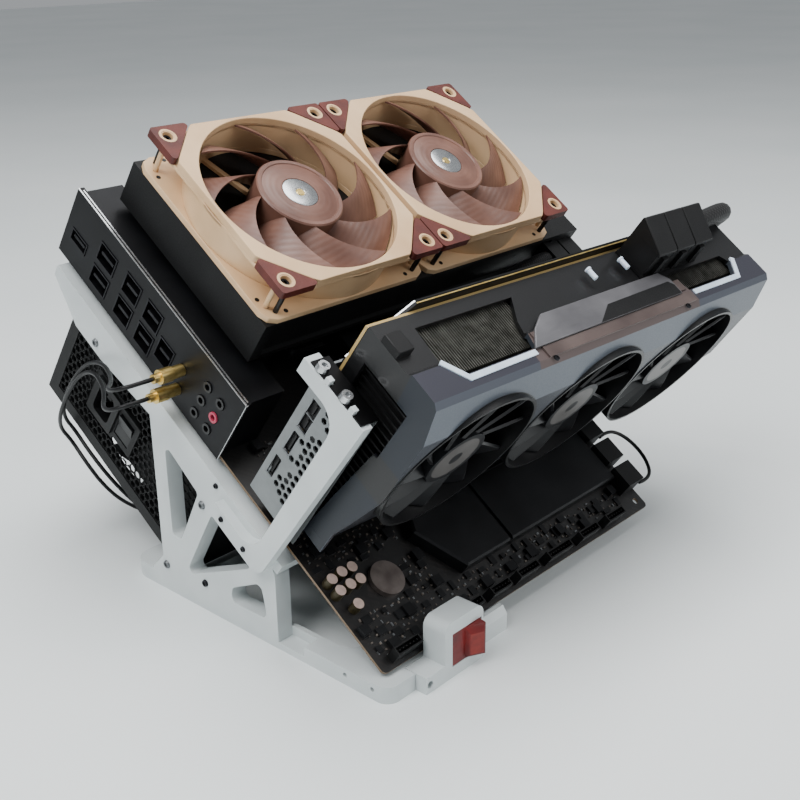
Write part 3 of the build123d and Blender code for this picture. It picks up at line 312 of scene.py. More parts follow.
def turned_plastic(name, dark, light, seat, pitch, rough, depth=0.08):
    """Moulded fan plastic with fine rings round the axle, which stands on the seat's origin."""
    finish, tree, shader, place = surface(name, {})
    centred = add(tree, "ShaderNodeVectorMath", {0: place, 1: seat.to_translation()}, operation="SUBTRACT")
    local = add(tree, "ShaderNodeVectorRotate", {"Vector": centred, "Rotation": seat.to_euler()},
                rotation_type="EULER_XYZ", invert=True)
    rings = add(tree, "ShaderNodeTexWave", {"Vector": local, "Scale": per_wave(pitch),
                                            "Distortion": 0.15, "Detail": 1.0},
                out="Fac", wave_type="RINGS", rings_direction="Z")
    cloud = add(tree, "ShaderNodeTexNoise", {"Vector": place, "Scale": per_mm(18), "Detail": 3.0})
    mask = add(tree, "ShaderNodeMapRange", span(cloud, 0, 1, 0.3, 0.7))
    feed(shader, {
        "Base Color": add(tree, "ShaderNodeMix", blend(mask, dark, light), data_type="RGBA"),
        "Roughness": add(tree, "ShaderNodeMapRange", span(rings, *rough)),
        "Normal": add(tree, "ShaderNodeBump", {"Height": rings, "Distance": depth * MM, "Strength": 0.5}),
    })
    return finish


def circuit_board(name, dark, light, edge, up):
    """Solder mask over copper tracks, with the glass-fibre core bare at the edges."""
    finish, tree, shader, place = surface(name, {"Coat Weight": 0.25, "Coat Roughness": 0.2})
    flat = add(tree, "ShaderNodeVectorRotate", {"Vector": place, "Angle": -TILT}, rotation_type="X_AXIS")
    cells = add(tree, "ShaderNodeTexVoronoi", {"Vector": flat, "Scale": per_mm(5.5)},
                out="Position", distance="MANHATTAN", feature="F1")
    tracks = add(tree, "ShaderNodeTexWave", {"Vector": cells, "Scale": per_mm(9)}, out="Fac")
    lanes = add(tree, "ShaderNodeTexWave", {"Vector": flat, "Scale": per_wave(1.1), "Distortion": 3.0,
                                            "Detail": 0.0, "Detail Scale": 40.0},
                out="Fac", bands_direction="DIAGONAL")
    pattern = add(tree, "ShaderNodeMath", {0: lanes, 1: tracks}, operation="MULTIPLY")
    mask = add(tree, "ShaderNodeMapRange", span(pattern, 0, 0.8, 0.25, 0.8))
    toned = add(tree, "ShaderNodeMix", blend(mask, dark, light), data_type="RGBA")
    normal = add(tree, "ShaderNodeNewGeometry", out="Normal")
    level = add(tree, "ShaderNodeVectorMath", {0: normal, 1: up}, operation="DOT_PRODUCT")
    level = add(tree, "ShaderNodeMath", {0: level}, operation="ABSOLUTE")
    side = add(tree, "ShaderNodeMapRange", span(level, 1, 0, 0.4, 0.6))
    feed(shader, {
        "Base Color": add(tree, "ShaderNodeMix", blend(side, toned, edge), data_type="RGBA"),
        "Roughness": add(tree, "ShaderNodeMapRange", span(mask, 0.45, 0.32)),
        "Normal": add(tree, "ShaderNodeBump", {"Height": mask, "Distance": 0.05 * MM, "Strength": 0.5}),
    })
    return finish


def painted_shell(name, faces):
    """Painted card shell whose facets differ in tone, because each takes the light its own way.

    faces is a row of (direction in the card's frame, tone). A warm strip lies along the middle
    of the upward faces. Behind two slanting lines across its ends, and in the rings round its
    fans, the shell is bare black plastic."""
    finish, tree, shader, place = surface(name, {"Coat Weight": 0.15})
    colour = faces[0][1]
    for direction, tone in faces:
        mask = looking(tree, CARD_TURN @ Vector(direction).normalized(), 0.93, 0.99)
        colour = add(tree, "ShaderNodeMix", blend(mask, colour, tone), data_type="RGBA")
    run = add(tree, "ShaderNodeMath", {0: off_plane(tree, place, (1, 0, 0), 150)}, operation="ABSOLUTE")
    run = add(tree, "ShaderNodeMapRange", span(run, 1, 0, 72.5 * MM, 72.8 * MM))
    level = looking(tree, CARD_TURN @ Vector((0, 0, 1)), 0.7, 0.74)
    strip = add(tree, "ShaderNodeMath", {0: run, 1: level}, operation="MULTIPLY")
    colour = add(tree, "ShaderNodeMix", blend(strip, colour, "5b4e4c"), data_type="RGBA")
    behind, below = [
        add(tree, "ShaderNodeMapRange", span(off_plane(tree, place, way, reach), 0, 1, 0, 0.2 * MM))
        for way, reach in (((0, 1, -0.104), -45.2), ((0, 1, 0.1), -27.6))]
    ends = add(tree, "ShaderNodeMath", {0: behind, 1: below}, operation="MULTIPLY")
    ring = add(tree, "ShaderNodeMapRange", span(from_fan(tree, place), 1, 0, 48.1 * MM, 48.3 * MM))
    bare = add(tree, "ShaderNodeMath", {0: ends, 1: ring}, operation="MAXIMUM")
    grains = add(tree, "ShaderNodeTexNoise", {"Vector": place, "Scale": per_mm(0.6), "Detail": 3.0})
    feed(shader, {
        "Base Color": add(tree, "ShaderNodeMix", blend(bare, colour, "0a0a0c"), data_type="RGBA"),
        "Metallic": add(tree, "ShaderNodeMapRange", span(bare, 0.35, 0.1)),
        "Roughness": add(tree, "ShaderNodeMapRange", span(grains, 0.34, 0.48, 0.3, 0.7)),
        "Normal": add(tree, "ShaderNodeBump", {"Height": grains, "Distance": 0.02 * MM, "Strength": 0.5}),
    })
    return finish


def sleeve(name, dark, light, turns, strands):
    """Woven sleeve that follows a cord by its own UV map."""
    finish, tree, shader, place = surface(
        name, {"Sheen Weight": 0.03, "Specular IOR Level": 0.35, "Roughness": 0.6})
    weave = []
    for slope in (1, -1):
        drawn = add(tree, "ShaderNodeMapping", {"Vector": place.node.outputs["UV"],
                                                "Scale": (turns, strands * slope, 1)})
        weave.append(add(tree, "ShaderNodeTexWave", {"Vector": drawn, "Scale": 1.0},
                         out="Fac", bands_direction="DIAGONAL"))
    cross = add(tree, "ShaderNodeMath", {0: weave[0], 1: weave[1]}, operation="MULTIPLY")
    feed(shader, {
        "Base Color": add(tree, "ShaderNodeMix", blend(cross, dark, light), data_type="RGBA"),
        "Normal": add(tree, "ShaderNodeBump", {"Height": cross, "Distance": 0.25 * MM, "Strength": 0.8}),
    })
    return finish


# Polyester braid over rubber, black: a dull weave of two crossing strands
hose_sleeve = sleeve("woven_hose_sleeve", "020203", "0f0f11", 60, 6)
# Glass-fibre boards under solder mask: the motherboard's nearly black, the card's darker still
main_board = circuit_board("black_circuit_board", "060505", "191412", "6a543a", BOARD_UP)
card_pcb = circuit_board("card_circuit_board", "070708", "141518", "b59a62", CARD_OUT)
# Metallic paint on ABS, blue-grey, with each facet's tone set by the way it faces as painted light and shade:
# lighter on the face, darker on the slopes
shell_paint_and_shade = painted_shell("metallic_paint_with_painted_shade", (
    ((0, -1, 0), "474d56"), ((-1, 0, 0), "1a2029"), ((0, 0, 1), "35353f"), ((1, 0, 0), "262c37"),
    ((0, -0.966, 0.26), "4d545e"), ((0, -0.968, -0.25), "33363f"), ((0, -0.963, -0.27), "2b2e36"),
    ((0, -0.64, 0.77), "4a4e58"), ((0, 0.7, 0.7), "24262b"),
))
# Glass-fibre plastic of the supply's fan, black: dull, with turning marks
psu_seat = BOARD @ Matrix.Translation((74, 202.9, -90))
psu_fan_plastic = turned_plastic("black_supply_fan_plastic", "060607", "111113", psu_seat, 1.2,
                                 (0.4, 0.6), 0.03)

finishes = {
    "base_plate": white_coat, "left_truss": white_coat, "right_truss": white_coat,
    "board_tray": white_coat, "slot_arm": white_coat, "switch_housing": white_coat,
    "power_rocker": red_lens, "psu_case": black_coat, "psu_inlet": black_nylon,
    "psu_rocker": black_abs, "psu_fan_rotor": psu_fan_plastic, "motherboard": main_board,
    "board_posts": nickel, "board_screws": nickel, "io_shield": black_anodised,
    "io_ports": black_nickel, "audio_jacks": jack_plastic, "antenna_sockets": gold,
    "io_cover": black_anodised, "vrm_heatsink": black_anodised, "cpu_socket": tin_plate,
    "memory_slots": black_nylon, "memory_modules": black_anodised,
    "chipset_plate": charcoal_brushed, "coin_cell": cell_steel, "capacitors": can_metal,
    "board_headers": black_nylon, "edge_connectors": black_nylon, "pump_block": black_abs,
    "radiator": black_coat, "fan_frame_left": beige_plastic, "fan_frame_right": beige_plastic,
    "fan_corner_pads": brown_rubber, "fan_screws": nickel, "card_shroud": shell_paint_and_shade,
    # The light strips take the opal finish, whose faint emission is a painted glow
    "card_light_strips": opal_painted_glow, "card_fins": fin_metal, "card_fan_1": card_fan_plastic,
    "card_fan_2": card_fan_plastic, "card_fan_3": card_fan_plastic, "card_board": card_pcb,
    "card_backplate": black_anodised, "card_bracket": bracket_steel, "bracket_screws": nickel,
    "card_trim": warm_brushed, "card_sockets": black_nylon, "card_plugs": black_nylon,
    "graphics_slot": black_nylon, "frame_screws": nickel, "antenna_plugs": gold,
}
for node, finish in finishes.items():
    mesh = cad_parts[node].data
    mesh.materials.clear()
    mesh.materials.append(finish)


def tidy_piece(name, mesh, finish, body, bevel=0.0, angle=35):
    """A finished piece: named, smooth between its edges, and riding on its body."""
    mesh.name = name
    mesh.materials.clear()
    mesh.materials.append(finish)
    mesh.shade_smooth()
    mesh.set_sharp_from_angle(angle=math.radians(angle))
    made = put(name, mesh)
    if bevel:
        edge = made.modifiers.new("edge", "BEVEL")
        edge.width = bevel * MM
        edge.segments = 2
        edge.limit_method = "ANGLE"
        edge.angle_limit = math.radians(40)
    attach(made, body)
    return made


def outward(name, shape):
    """Mesh of a bmesh shape, with its faces turned outwards."""
    bmesh.ops.recalc_face_normals(shape, faces=shape.faces)
    mesh = bpy.data.meshes.new(name)
    shape.to_mesh(mesh)
    shape.free()
    return mesh


def from_shape(name, shape, finish, body=bench, bevel=0.0, angle=35):
    """A piece from a bmesh shape."""
    return tidy_piece(name, outward(name, shape), finish, body, bevel, angle)


def shaped(name, finish, *steps, body=bench, bevel=0.0, angle=35):
    """A piece from a row of steps, each a builder with what it is given beside the shape."""
    shape = bmesh.new()
    for build, *given in steps:
        build(shape, *given)
    return from_shape(name, shape, finish, body, bevel, angle)


def settled(made):
    """The mesh that an object has once its modifiers have run."""
    return bpy.data.meshes.new_from_object(made.evaluated_get(bpy.context.evaluated_depsgraph_get()))


def prism(shape, place, outline, low, high, top=None):
    """Solid from an outline in a frame's plane to the same or a second one at another height."""
    ends = [[shape.verts.new(place @ Vector((x, y, z))) for x, y in edge]
            for edge, z in ((outline, low), (top or outline, high))]
    shape.faces.new(ends[0])
    shape.faces.new(ends[1])
    for here in range(len(outline)):
        after = (here + 1) % len(outline)
        shape.faces.new((ends[0][here], ends[0][after], ends[1][after], ends[1][here]))


def rectangle(x, y):
    """Corners of a rectangle from its two spans."""
    return (x[0], y[0]), (x[1], y[0]), (x[1], y[1]), (x[0], y[1])


def block(shape, place, x, y, z):
    """Solid with straight sides, from its three spans."""
    prism(shape, place, rectangle(x, y), *z)


def around(centre, radius, sides):
    """Points of a circle about a spot."""
    steps = [math.tau * side / sides for side in range(sides)]
    return [(centre[0] + radius * math.cos(a), centre[1] + radius * math.sin(a)) for a in steps]


def rod(shape, place, centre, radius, low, high, sides=32):
    """Round solid about a spot, from one height to another."""
    prism(shape, place, around(centre, radius, sides), low, high)


def lathe(shape, place, centre, profile, sides=48):
    """Closed ring or dish turned from a profile of (radius, height) about a spot of a frame."""
    rings = [[shape.verts.new(place @ Vector((x, y, z))) for x, y in around(centre, radius, sides)]
             for radius, z in profile]
    for here in range(len(profile)):
        low, high = rings[here], rings[(here + 1) % len(profile)]
        for side in range(sides):
            after = (side + 1) % sides
            shape.faces.new((low[side], low[after], high[after], high[side]))


# Cords: each follows its route as one smooth spline
def cord_line(name, points, diameter, finish):
    """Curve with the route's points as its control points."""
    curve = bpy.data.curves.new(name, "CURVE")
    curve.dimensions = "3D"
    curve.bevel_depth = diameter / 2
    curve.bevel_resolution = 4
    curve.use_fill_caps = True
    curve.resolution_u = 8
    line = curve.splines.new("NURBS")
    line.points.add(len(points) - 1)
    for point, spot in zip(line.points, points):
        point.co = (*spot, 1)
    line.order_u = 3
    line.use_endpoint_u = True
    line.use_smooth = True
    curve.materials.append(finish)
    made = put(name, curve)
    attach(made, bench)
    return made


def along(place, route):
    """A route's points in the scene."""
    return [place @ Vector(point) for point in route]


hose_front_route = (
    (269.4, 142, 61), (252, 142, 61), (212, 142.5, 46), (172, 144, 31), (138, 152, 25),
    (124, 157, 24), (109.1, 157, 24),
)
hose_rear_route = (
    (254.9, 157, 61), (240, 157, 61), (206, 156.5, 47), (174, 158, 33), (152, 170, 25),
    (142, 172, 24), (131.1, 172, 24),
)
graphics_lead_route = (
    (252.5, 98, 149), (272, 98, 151.5), (308, 101, 148), (326, 112, 113), (326, 124, 74),
    (312, 138, 26), (286, 152, -20), (242, 172, -52), (196, 190, -60), (144.1, 190, -60),
)
loop_cable_route = (
    (245.3, 52, 6), (257, 54, 6), (267, 44, 6), (268, 26, 6), (258, 12, 6), (245.3, 14, 6),
)
upper_lead_route = (
    (-20.8, 187.6, 20), (-36, 187.6, 20), (-38, 198, 5), (-20, 212, -9), (-12, 230, -18),
    (-10.5, 243, -34), (-10.5, 248, -58), (-8, 250, -82), (-1, 251, -100), (5, 246, -108),
    (5, 228, -109), (8, 208, -112), (22, 194, -128), (44, 190.5, -150.8), (70, 191.2, -152.6),
)
lower_lead_route = (
    (-20.8, 185, 7), (-36, 185, 7), (-37.5, 195.5, -9), (-22, 212, -18), (-15, 230, -25),
    (-14, 240, -38), (-14, 244, -60), (-12, 246, -84), (-5, 248, -104), (2, 243, -113),
    (2, 226, -114), (5, 210, -118), (18, 200, -132), (44, 194.5, -154.2), (70, 195.4, -155.7),
)


# A coil's turns: the radii of one layer, and the step from layer to layer, in millimetres
coil_radii, coil_step, steps_a_turn = (15.6, 13.15, 10.7), 2.45, 16


def coil_turns(centre, start, way):
    """Nine turns of a lead, three beside each other in three layers, as points on the table."""
    spots = []
    for layer, radii in enumerate((coil_radii, coil_radii[::-1], coil_radii)):
        for index, radius in enumerate(radii):
            after = radii[index + 1] if index < 2 else radius
            height = 1.3 + coil_step * layer
            above = height + (coil_step if index == 2 and layer < 2 else 0)
            for step in range(steps_a_turn):
                # The last quarter of a turn leads over to the next
                share = max(0, step - 12) / 4
                angle = start + way * math.tau * (step + 1) / steps_a_turn
                reach = radius + (after - radius) * share
                spots.append(TABLE @ Vector((centre[0] + reach * math.cos(angle),
                                             centre[1] + reach * math.sin(angle),
                                             height + (above - height) * share)))
    return spots


def measured(made):
    """Length of a curve's own line, in metres."""
    plain = made.copy()
    plain.data = made.data.copy()
    plain.data.bevel_depth = 0
    bpy.context.collection.objects.link(plain)
    spots = [vert.co.copy() for vert in settled(plain).vertices]
    bpy.data.objects.remove(plain)
    return sum((b - a).length for a, b in zip(spots, spots[1:]))


def fixed_cord(name, route, diameter, finish):
    """Cord that runs from one place on the bench to another."""
    made = cord_line(name + "_run", along(BOARD, route), diameter, finish)
    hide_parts(name)
    BOARD @ Vector(route[0])
    measured(made)


fixed_cord("hose_front", hose_front_route, 0.011, hose_sleeve)
fixed_cord("hose_rear", hose_rear_route, 0.011, hose_sleeve)
fixed_cord("graphics_lead", graphics_lead_route, 0.011, hose_sleeve)
fixed_cord("loop_cable", loop_cable_route, 0.0024, lead_jacket)

for name, route, centre, start, way in (
    ("upper", upper_lead_route, (70, 226), math.pi / 2, -1),
    ("lower", lower_lead_route, (70, 268), -math.pi / 2, 1),
):
    turns = coil_turns(centre, start, way)
    made = cord_line(f"antenna_lead_{name}_run", along(BOARD, route) + turns, 0.0024, lead_jacket)
    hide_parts(f"antenna_lead_{name}", f"antenna_coil_{name}")
    tip = TABLE.inverted() @ turns[-1]
    facing = TABLE @ Matrix.Translation(tip) @ Matrix.Rotation(start + math.pi / 2 * way, 4, "Z") @ ACROSS
    plug = shaped(f"antenna_end_plug_{name}", gold, (rod, facing, (0, 0), 1.9, -1.0, 2.6),
                  (rod, facing, (0, 0), 3.1, 2.6, 9.4, 6), bevel=0.2)
    BOARD @ Vector(route[0])
    measured(made)


# What repeats: each tree works in a frame's millimetres, and its mesh is then put in place
def started(name, sizes):
    """A tree with named sizes, and the sockets that give them."""
    tree = bpy.data.node_groups.new(name, "GeometryNodeTree")
    for side in ("INPUT", "OUTPUT"):
        tree.interface.new_socket("Mesh", in_out=side, socket_type="NodeSocketGeometry")
    for size, kind in {**sizes, "Finish": "Material"}.items():
        tree.interface.new_socket(size, in_out="INPUT", socket_type="NodeSocket" + kind)
    return tree, add(tree, "NodeGroupInput").node.outputs


def ended(tree, given, shape):
    """Last nodes of a tree: its copies are made real and get their finish."""
    whole = add(tree, "GeometryNodeRealizeInstances", {"Geometry": shape})
    coated = add(tree, "GeometryNodeSetMaterial", {"Geometry": whole, "Material": given["Finish"]})
    add(tree, "NodeGroupOutput", {"Mesh": coated})
    return tree


def base_of(spots, faces=(), facing=None):
    """Mesh that a tree grows on."""
    mesh = bpy.data.meshes.new("base")
    mesh.from_pydata(spots, [], faces)
    if facing:
        mesh.attributes.new("facing", "FLOAT_VECTOR", "POINT").data.foreach_set(
            "vector", [value for direction in facing for value in direction])
    return mesh


def grown(name, tree, base, values, finish, place, body, angle=35):
    """Runs a tree on its base mesh and keeps the result as a plain piece."""
    holder = put(name + "_base", base)
    modifier = holder.modifiers.new("tree", "NODES")
    modifier.node_group = tree
    values = {**values, "Finish": finish}
    for item in tree.interface.items_tree:
        if item.in_out == "INPUT" and item.name in values:
            modifier[item.identifier] = values[item.name]
    mesh = settled(holder)
    bpy.data.objects.remove(holder)
    mesh.transform(place)
    return tidy_piece(name, mesh, finish, body, 0, angle)


def screw_tree():
    """Socket-head screws on points, each along its point's facing."""
    tree, given = started("screw_heads", {"Head Radius": "Float", "Head Height": "Float",
                                          "Socket Radius": "Float"})
    top = add(tree, "ShaderNodeMath", {0: given["Head Radius"], 1: 0.84}, operation="MULTIPLY")
    head = add(tree, "GeometryNodeMeshCone", {"Vertices": 20, "Radius Bottom": given["Head Radius"],
                                              "Radius Top": top, "Depth": given["Head Height"]})
    bit = add(tree, "GeometryNodeMeshCylinder", {"Vertices": 6, "Radius": given["Socket Radius"],
                                                 "Depth": given["Head Height"]})
    up = add(tree, "ShaderNodeCombineXYZ", {"Z": given["Head Height"]})
    bit = add(tree, "GeometryNodeTransform", {"Geometry": bit, "Translation": up})
    cut = add(tree, "GeometryNodeMeshBoolean", {"Mesh 1": head, "Mesh 2": bit}, operation="DIFFERENCE")
    facing = add(tree, "GeometryNodeInputNamedAttribute", {"Name": "facing"}, data_type="FLOAT_VECTOR")
    turn = add(tree, "FunctionNodeAlignRotationToVector", {"Vector": facing}, axis="Z")
    copies = add(tree, "GeometryNodeInstanceOnPoints", {"Points": given["Mesh"], "Instance": cut,
                                                        "Rotation": turn})
    return ended(tree, given, copies)


def comb_tree():
    """Ring of web round each cell of a honeycomb."""
    tree, given = started("honeycomb_cells", {"Cell": "Float", "Web": "Float", "Thickness": "Float"})
    path = add(tree, "GeometryNodeCurvePrimitiveCircle", {"Resolution": 6, "Radius": given["Cell"]})
    section = add(tree, "GeometryNodeCurvePrimitiveQuadrilateral", {"Width": given["Web"],
                                                                    "Height": given["Thickness"]})
    ring = add(tree, "GeometryNodeCurveToMesh", {"Curve": path, "Profile Curve": section})
    copies = add(tree, "GeometryNodeInstanceOnPoints", {"Points": given["Mesh"], "Instance": ring})
    return ended(tree, given, copies)


def row_tree():
    """Row of equal plates, one step apart."""
    tree, given = started("row_of_plates", {"Count": "Int", "Start": "Vector", "Step": "Vector",
                                            "Plate": "Vector"})
    line = add(tree, "GeometryNodeMeshLine", {"Count": given["Count"], "Start Location": given["Start"],
                                              "Offset": given["Step"]})
    plate = add(tree, "GeometryNodeMeshCube", {"Size": given["Plate"]})
    copies = add(tree, "GeometryNodeInstanceOnPoints", {"Points": line, "Instance": plate})
    return ended(tree, given, copies)


def scatter_tree():
    """Small soldered parts strewn over patches of the board, square to it."""
    tree, given = started("soldered_parts", {"Spacing": "Float", "Seed": "Int",
                                             "Smallest": "Vector", "Largest": "Vector"})
    seed = given["Seed"]
    spots = add(tree, "GeometryNodeDistributePointsOnFaces",
                {"Mesh": given["Mesh"], "Distance Min": given["Spacing"], "Density Max": 1.0, "Seed": seed},
                distribute_method="POISSON")
    cube = add(tree, "GeometryNodeMeshCube", {"Size": (1, 1, 1)})
    cube = add(tree, "GeometryNodeTransform", {"Geometry": cube, "Translation": (0, 0, 0.5)})
    size = add(tree, "FunctionNodeRandomValue",
               {"Min": given["Smallest"], "Max": given["Largest"], "Seed": seed}, data_type="FLOAT_VECTOR")
    half = add(tree, "FunctionNodeRandomValue", {4: 0, 5: 1, "Seed": seed}, data_type="INT")
    turn = add(tree, "ShaderNodeMath", {0: half, 1: math.pi / 2}, operation="MULTIPLY")
    turn = add(tree, "ShaderNodeCombineXYZ", {"Z": turn})
    turn = add(tree, "FunctionNodeEulerToRotation", {"Euler": turn})
    copies = add(tree, "GeometryNodeInstanceOnPoints", {"Points": spots, "Instance": cube, "Rotation": turn,
                                                        "Scale": size})
    return ended(tree, given, copies)


def round_tree():
    """The base mesh repeated at equal angles round the axle."""
    tree, given = started("blades_round_axle", {"Count": "Int"})
    points = add(tree, "GeometryNodePoints", {"Count": given["Count"]})
    index = add(tree, "GeometryNodeInputIndex")
    share = add(tree, "ShaderNodeMath", {0: index, 1: given["Count"]}, operation="DIVIDE")
    angle = add(tree, "ShaderNodeMath", {0: share, 1: math.tau}, operation="MULTIPLY")
    turn = add(tree, "ShaderNodeCombineXYZ", {"Z": angle})
    turn = add(tree, "FunctionNodeEulerToRotation", {"Euler": turn})
    copies = add(tree, "GeometryNodeInstanceOnPoints", {"Points": points, "Instance": given["Mesh"],
                                                        "Rotation": turn})
    return ended(tree, given, copies)


screws, comb, plates, strewn, wheel = screw_tree(), comb_tree(), row_tree(), scatter_tree(), round_tree()


def screw_set(name, spots, facing, radius, height, socket, finish, place):
    """Screw heads of one kind, all facing one way of a frame."""
    base = base_of(spots, (), [facing] * len(spots))
    values = {"Head Radius": radius, "Head Height": height, "Socket Radius": socket}
    return grown(name, screws, base, values, finish, place, bench, 30)


def plate_row(name, count, start, step, plate, finish, place):
    """Row of thin plates, from the middle of the first."""
    values = {"Count": count, "Start": start, "Step": step, "Plate": plate}
    return grown(name, plates, base_of([(0, 0, 0)]), values, finish, place, bench, 30)


# Fan wheels: swept blades whose leading edges stand high, round a flat-topped hub
def blade_base(inner, outer, sweep, spans, tops, drops, thick):
    """One blade as a closed shell in the wheel's frame, leading edge first."""
    across, out = 9, 13
    spots, faces = [], []
    for side in (0.5, -0.5):
        for i in range(out):
            u = i / (out - 1)
            radius = inner + (outer - inner) * u
            for j in range(across):
                v = j / (across - 1)
                width = spans[0] + (spans[1] - spans[0]) * u
                angle = math.radians(sweep * u ** 0.9 - width * v)
                top = tops[0] + (tops[1] - tops[0]) * u
                drop = drops[0] + (drops[1] - drops[0]) * u
                body = thick * (0.45 + 0.55 * math.sin(math.pi * min(1, v + 0.12)))
                height = top - drop * v ** 1.2 + side * body
                spots.append((radius * math.cos(angle), radius * math.sin(angle), height))

    def at(side, i, j):
        return side * across * out + i * across + j

    for i in range(out - 1):
        for j in range(across - 1):
            faces.append((at(0, i, j), at(0, i + 1, j), at(0, i + 1, j + 1), at(0, i, j + 1)))
            faces.append((at(1, i, j), at(1, i, j + 1), at(1, i + 1, j + 1), at(1, i + 1, j)))
    rim = [(i, 0) for i in range(out)] + [(out - 1, j) for j in range(1, across)]
    rim += [(i, across - 1) for i in range(out - 2, -1, -1)] + [(0, j) for j in range(across - 2, 0, -1)]
    for here, after in zip(rim, rim[1:] + rim[:1]):
        faces.append((at(0, *here), at(1, *here), at(1, *after), at(0, *after)))
    shape = bmesh.new()
    shape.from_mesh(base_of(spots, faces))
    return outward("blade", shape)


# What is turned on the hub of each case fan, as (radius, height): hub, metal plate and axle cap
fan_turnings = (
    ("fan_hub", 72, ((0.01, 0), (24, 0), (25, 1), (25, 18.1), (24.3, 18.9), (22.2, 18.9), (21.8, 18.4),
                     (21.2, 18.4), (20.8, 18.7), (10.5, 18.7), (10.4, 17.9), (0.01, 17.9))),
    ("fan_hub_plate", 48, ((0.01, 17.9), (10.1, 17.9), (10.1, 18.6), (9.7, 18.8), (3.2, 18.8), (3.0, 18.5),
                           (0.01, 18.5))),
    ("fan_axle_cap", 24, ((0.01, 18.5), (2.6, 18.5), (2.3, 18.9), (0.01, 18.9))),
)
case_blade = dict(inner=24.4, outer=55.4, sweep=43, spans=(25, 32), tops=(17.2, 17.4), drops=(15, 13),
                  thick=1.8)
for side, (x, s) in zip(("left", "right"), fan_centres):
    seat = BOARD @ Matrix.Translation((x, s, 78.5)) @ Matrix.Rotation(0.2, 4, "Z")
    # Glass-fibre nylon, brown: matt, with fine turned rings
    plastic = turned_plastic(f"brown_fan_plastic_{side}", "5e3f35", "7b584b", seat, 1.6, (0.36, 0.5))
    body = f"fan_rotor_{side}_body"
    blades = grown(f"fan_blades_{side}", wheel, blade_base(**case_blade), {"Count": 9}, plastic, seat, body, 50)
    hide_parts(f"fan_rotor_{side}")
    for (piece, sides, profile), finish in zip(fan_turnings, (plastic, nickel, gold)):
        shaped(f"{piece}_{side}", finish, (lathe, seat, (0, 0), profile, sides), body=body, angle=40)

# Fan frames: a top plate and a foot plate with a round duct and corner posts between
half_frame, pad_cut, bore, tube = 59.8, 26.8, 56.5, 59.2


def holed(shape, seat, outline, low, high, sides=96):
    """Plate with the fan's bore, its outline sampled by angle so that both edges match."""
    angles = [math.tau * step / sides for step in range(sides)]
    ways = [(math.cos(angle), math.sin(angle)) for angle in angles]
    edges = [(c, n, outline(abs(c), abs(n))) for c, n in ways], [(c, n, bore) for c, n in ways]
    outer, inner = [[[shape.verts.new(seat @ Vector((c * r, n * r, z))) for c, n, r in edge]
                     for z in (low, high)] for edge in edges]
    for here in range(sides):
        after = (here + 1) % sides
        for wall in (outer, inner):
            shape.faces.new((wall[0][here], wall[0][after], wall[1][after], wall[1][here]))
        for end in (0, 1):
            shape.faces.new((outer[end][here], outer[end][after], inner[end][after], inner[end][here]))


def square(c, n, half=half_frame, radius=8):
    """Distance from the middle to a rounded square's edge in a direction."""
    reach = half / max(c, n)
    corner = half - radius
    if min(c, n) * reach > corner:
        run = (c + n) * corner
        reach = run + math.sqrt(max(0, run * run - 2 * corner * corner + radius * radius))
    return reach


def clipped(c, n):
    """The same for a square with its corners cut off for the rubber pads."""
    return min(58.3 / max(c, n), (2 * half_frame - pad_cut) / (c + n))


def collar(c, n):
    """The same for the step under the top plate, never inside the duct's wall."""
    return max(tube, min(square(c, n, 58.2, 6), 78))


for side, (x, s) in zip(("left", "right"), fan_centres):
    seat = BOARD @ Matrix.Translation((x, s, 0))
    piece = shaped(f"fan_frame_{side}_open", beige_plastic,
                   (holed, seat, square, 74, 77.6), (holed, seat, clipped, 94.6, 98.9),
                   (holed, seat, lambda c, n: tube, 77.6, 94.6), (holed, seat, collar, 92.6, 94.6),
                   *[(rod, seat, (54.6 * sx, 50.2 * sy), 1.5, 77.6, 92.6, 12) for sx, sy in CORNERS],
                   bevel=0.35, angle=30)
    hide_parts(f"fan_frame_{side}")
    struts = [seat @ Matrix.Rotation(math.pi / 2 * strut + 0.35, 4, "Z") for strut in range(4)]
    shaped(f"fan_struts_{side}", beige_plastic,
           *[(block, turned, (21, 58), (-1.6, 1.6), (74.2, 76.6)) for turned in struts],
           (rod, seat, (0, 0), 23, 74.1, 77.6, 48), bevel=0.3)

# Black rods in the corners of each fan, painted shade that stands for the dark gaps between its plates, with
# thin black discs on the foot plate
shape = bmesh.new()
for x, s in fan_centres:
    seat = BOARD @ Matrix.Translation((x, s, 0))
    for sx, sy in CORNERS:
        rod(shape, seat, (51.4 * sx, 54.8 * sy), 1.4, 77.7, 92.5, 12)
        rod(shape, seat, (45 * sx, 56 * sy), 1.3, 77.62, 77.75, 16)
        rod(shape, seat, (56 * sx, 45 * sy), 1.3, 77.62, 77.75, 16)
from_shape("fan_corner_painted_shade", shape, black_abs, angle=30)

fan_holes = [(x + 52.5 * a, s + 52.5 * b, 94.9) for x, s in fan_centres for a in (-1, 1) for b in (-1, 1)]
made = screw_set("fan_screw_heads", fan_holes, (0, 0, 1), 2.9, 2.2, 1.5, black_nickel, BOARD)
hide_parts("fan_screws")
eyelet = ((3.55, 95.2), (3.1, 95.2), (3.1, 98.8), (4.7, 98.8), (4.9, 99.05), (3.7, 99.15), (3.55, 98.9))
shaped("fan_eyelets", beige_plastic, *[(lathe, BOARD, (x, s), eyelet, 24) for x, s, n in fan_holes])

# Power supply: the CAD case with its end wall opened, and a fine honeycomb let into it
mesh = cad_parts["psu_case"].data.copy()
shape = bmesh.new()
shape.from_mesh(mesh)
bmesh.ops.remove_doubles(shape, verts=shape.verts, dist=1e-5)
home = BOARD.inverted()
end_wall = [face for face in shape.faces if all(3.9 < (home @ vert.co).x < 5.5 for vert in face.verts)]
bmesh.ops.delete(shape, geom=end_wall, context="FACES")
shape.to_mesh(mesh)
shape.free()
case = tidy_piece("psu_shell", mesh, black_coat, bench, 0, 30)
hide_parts("psu_case")
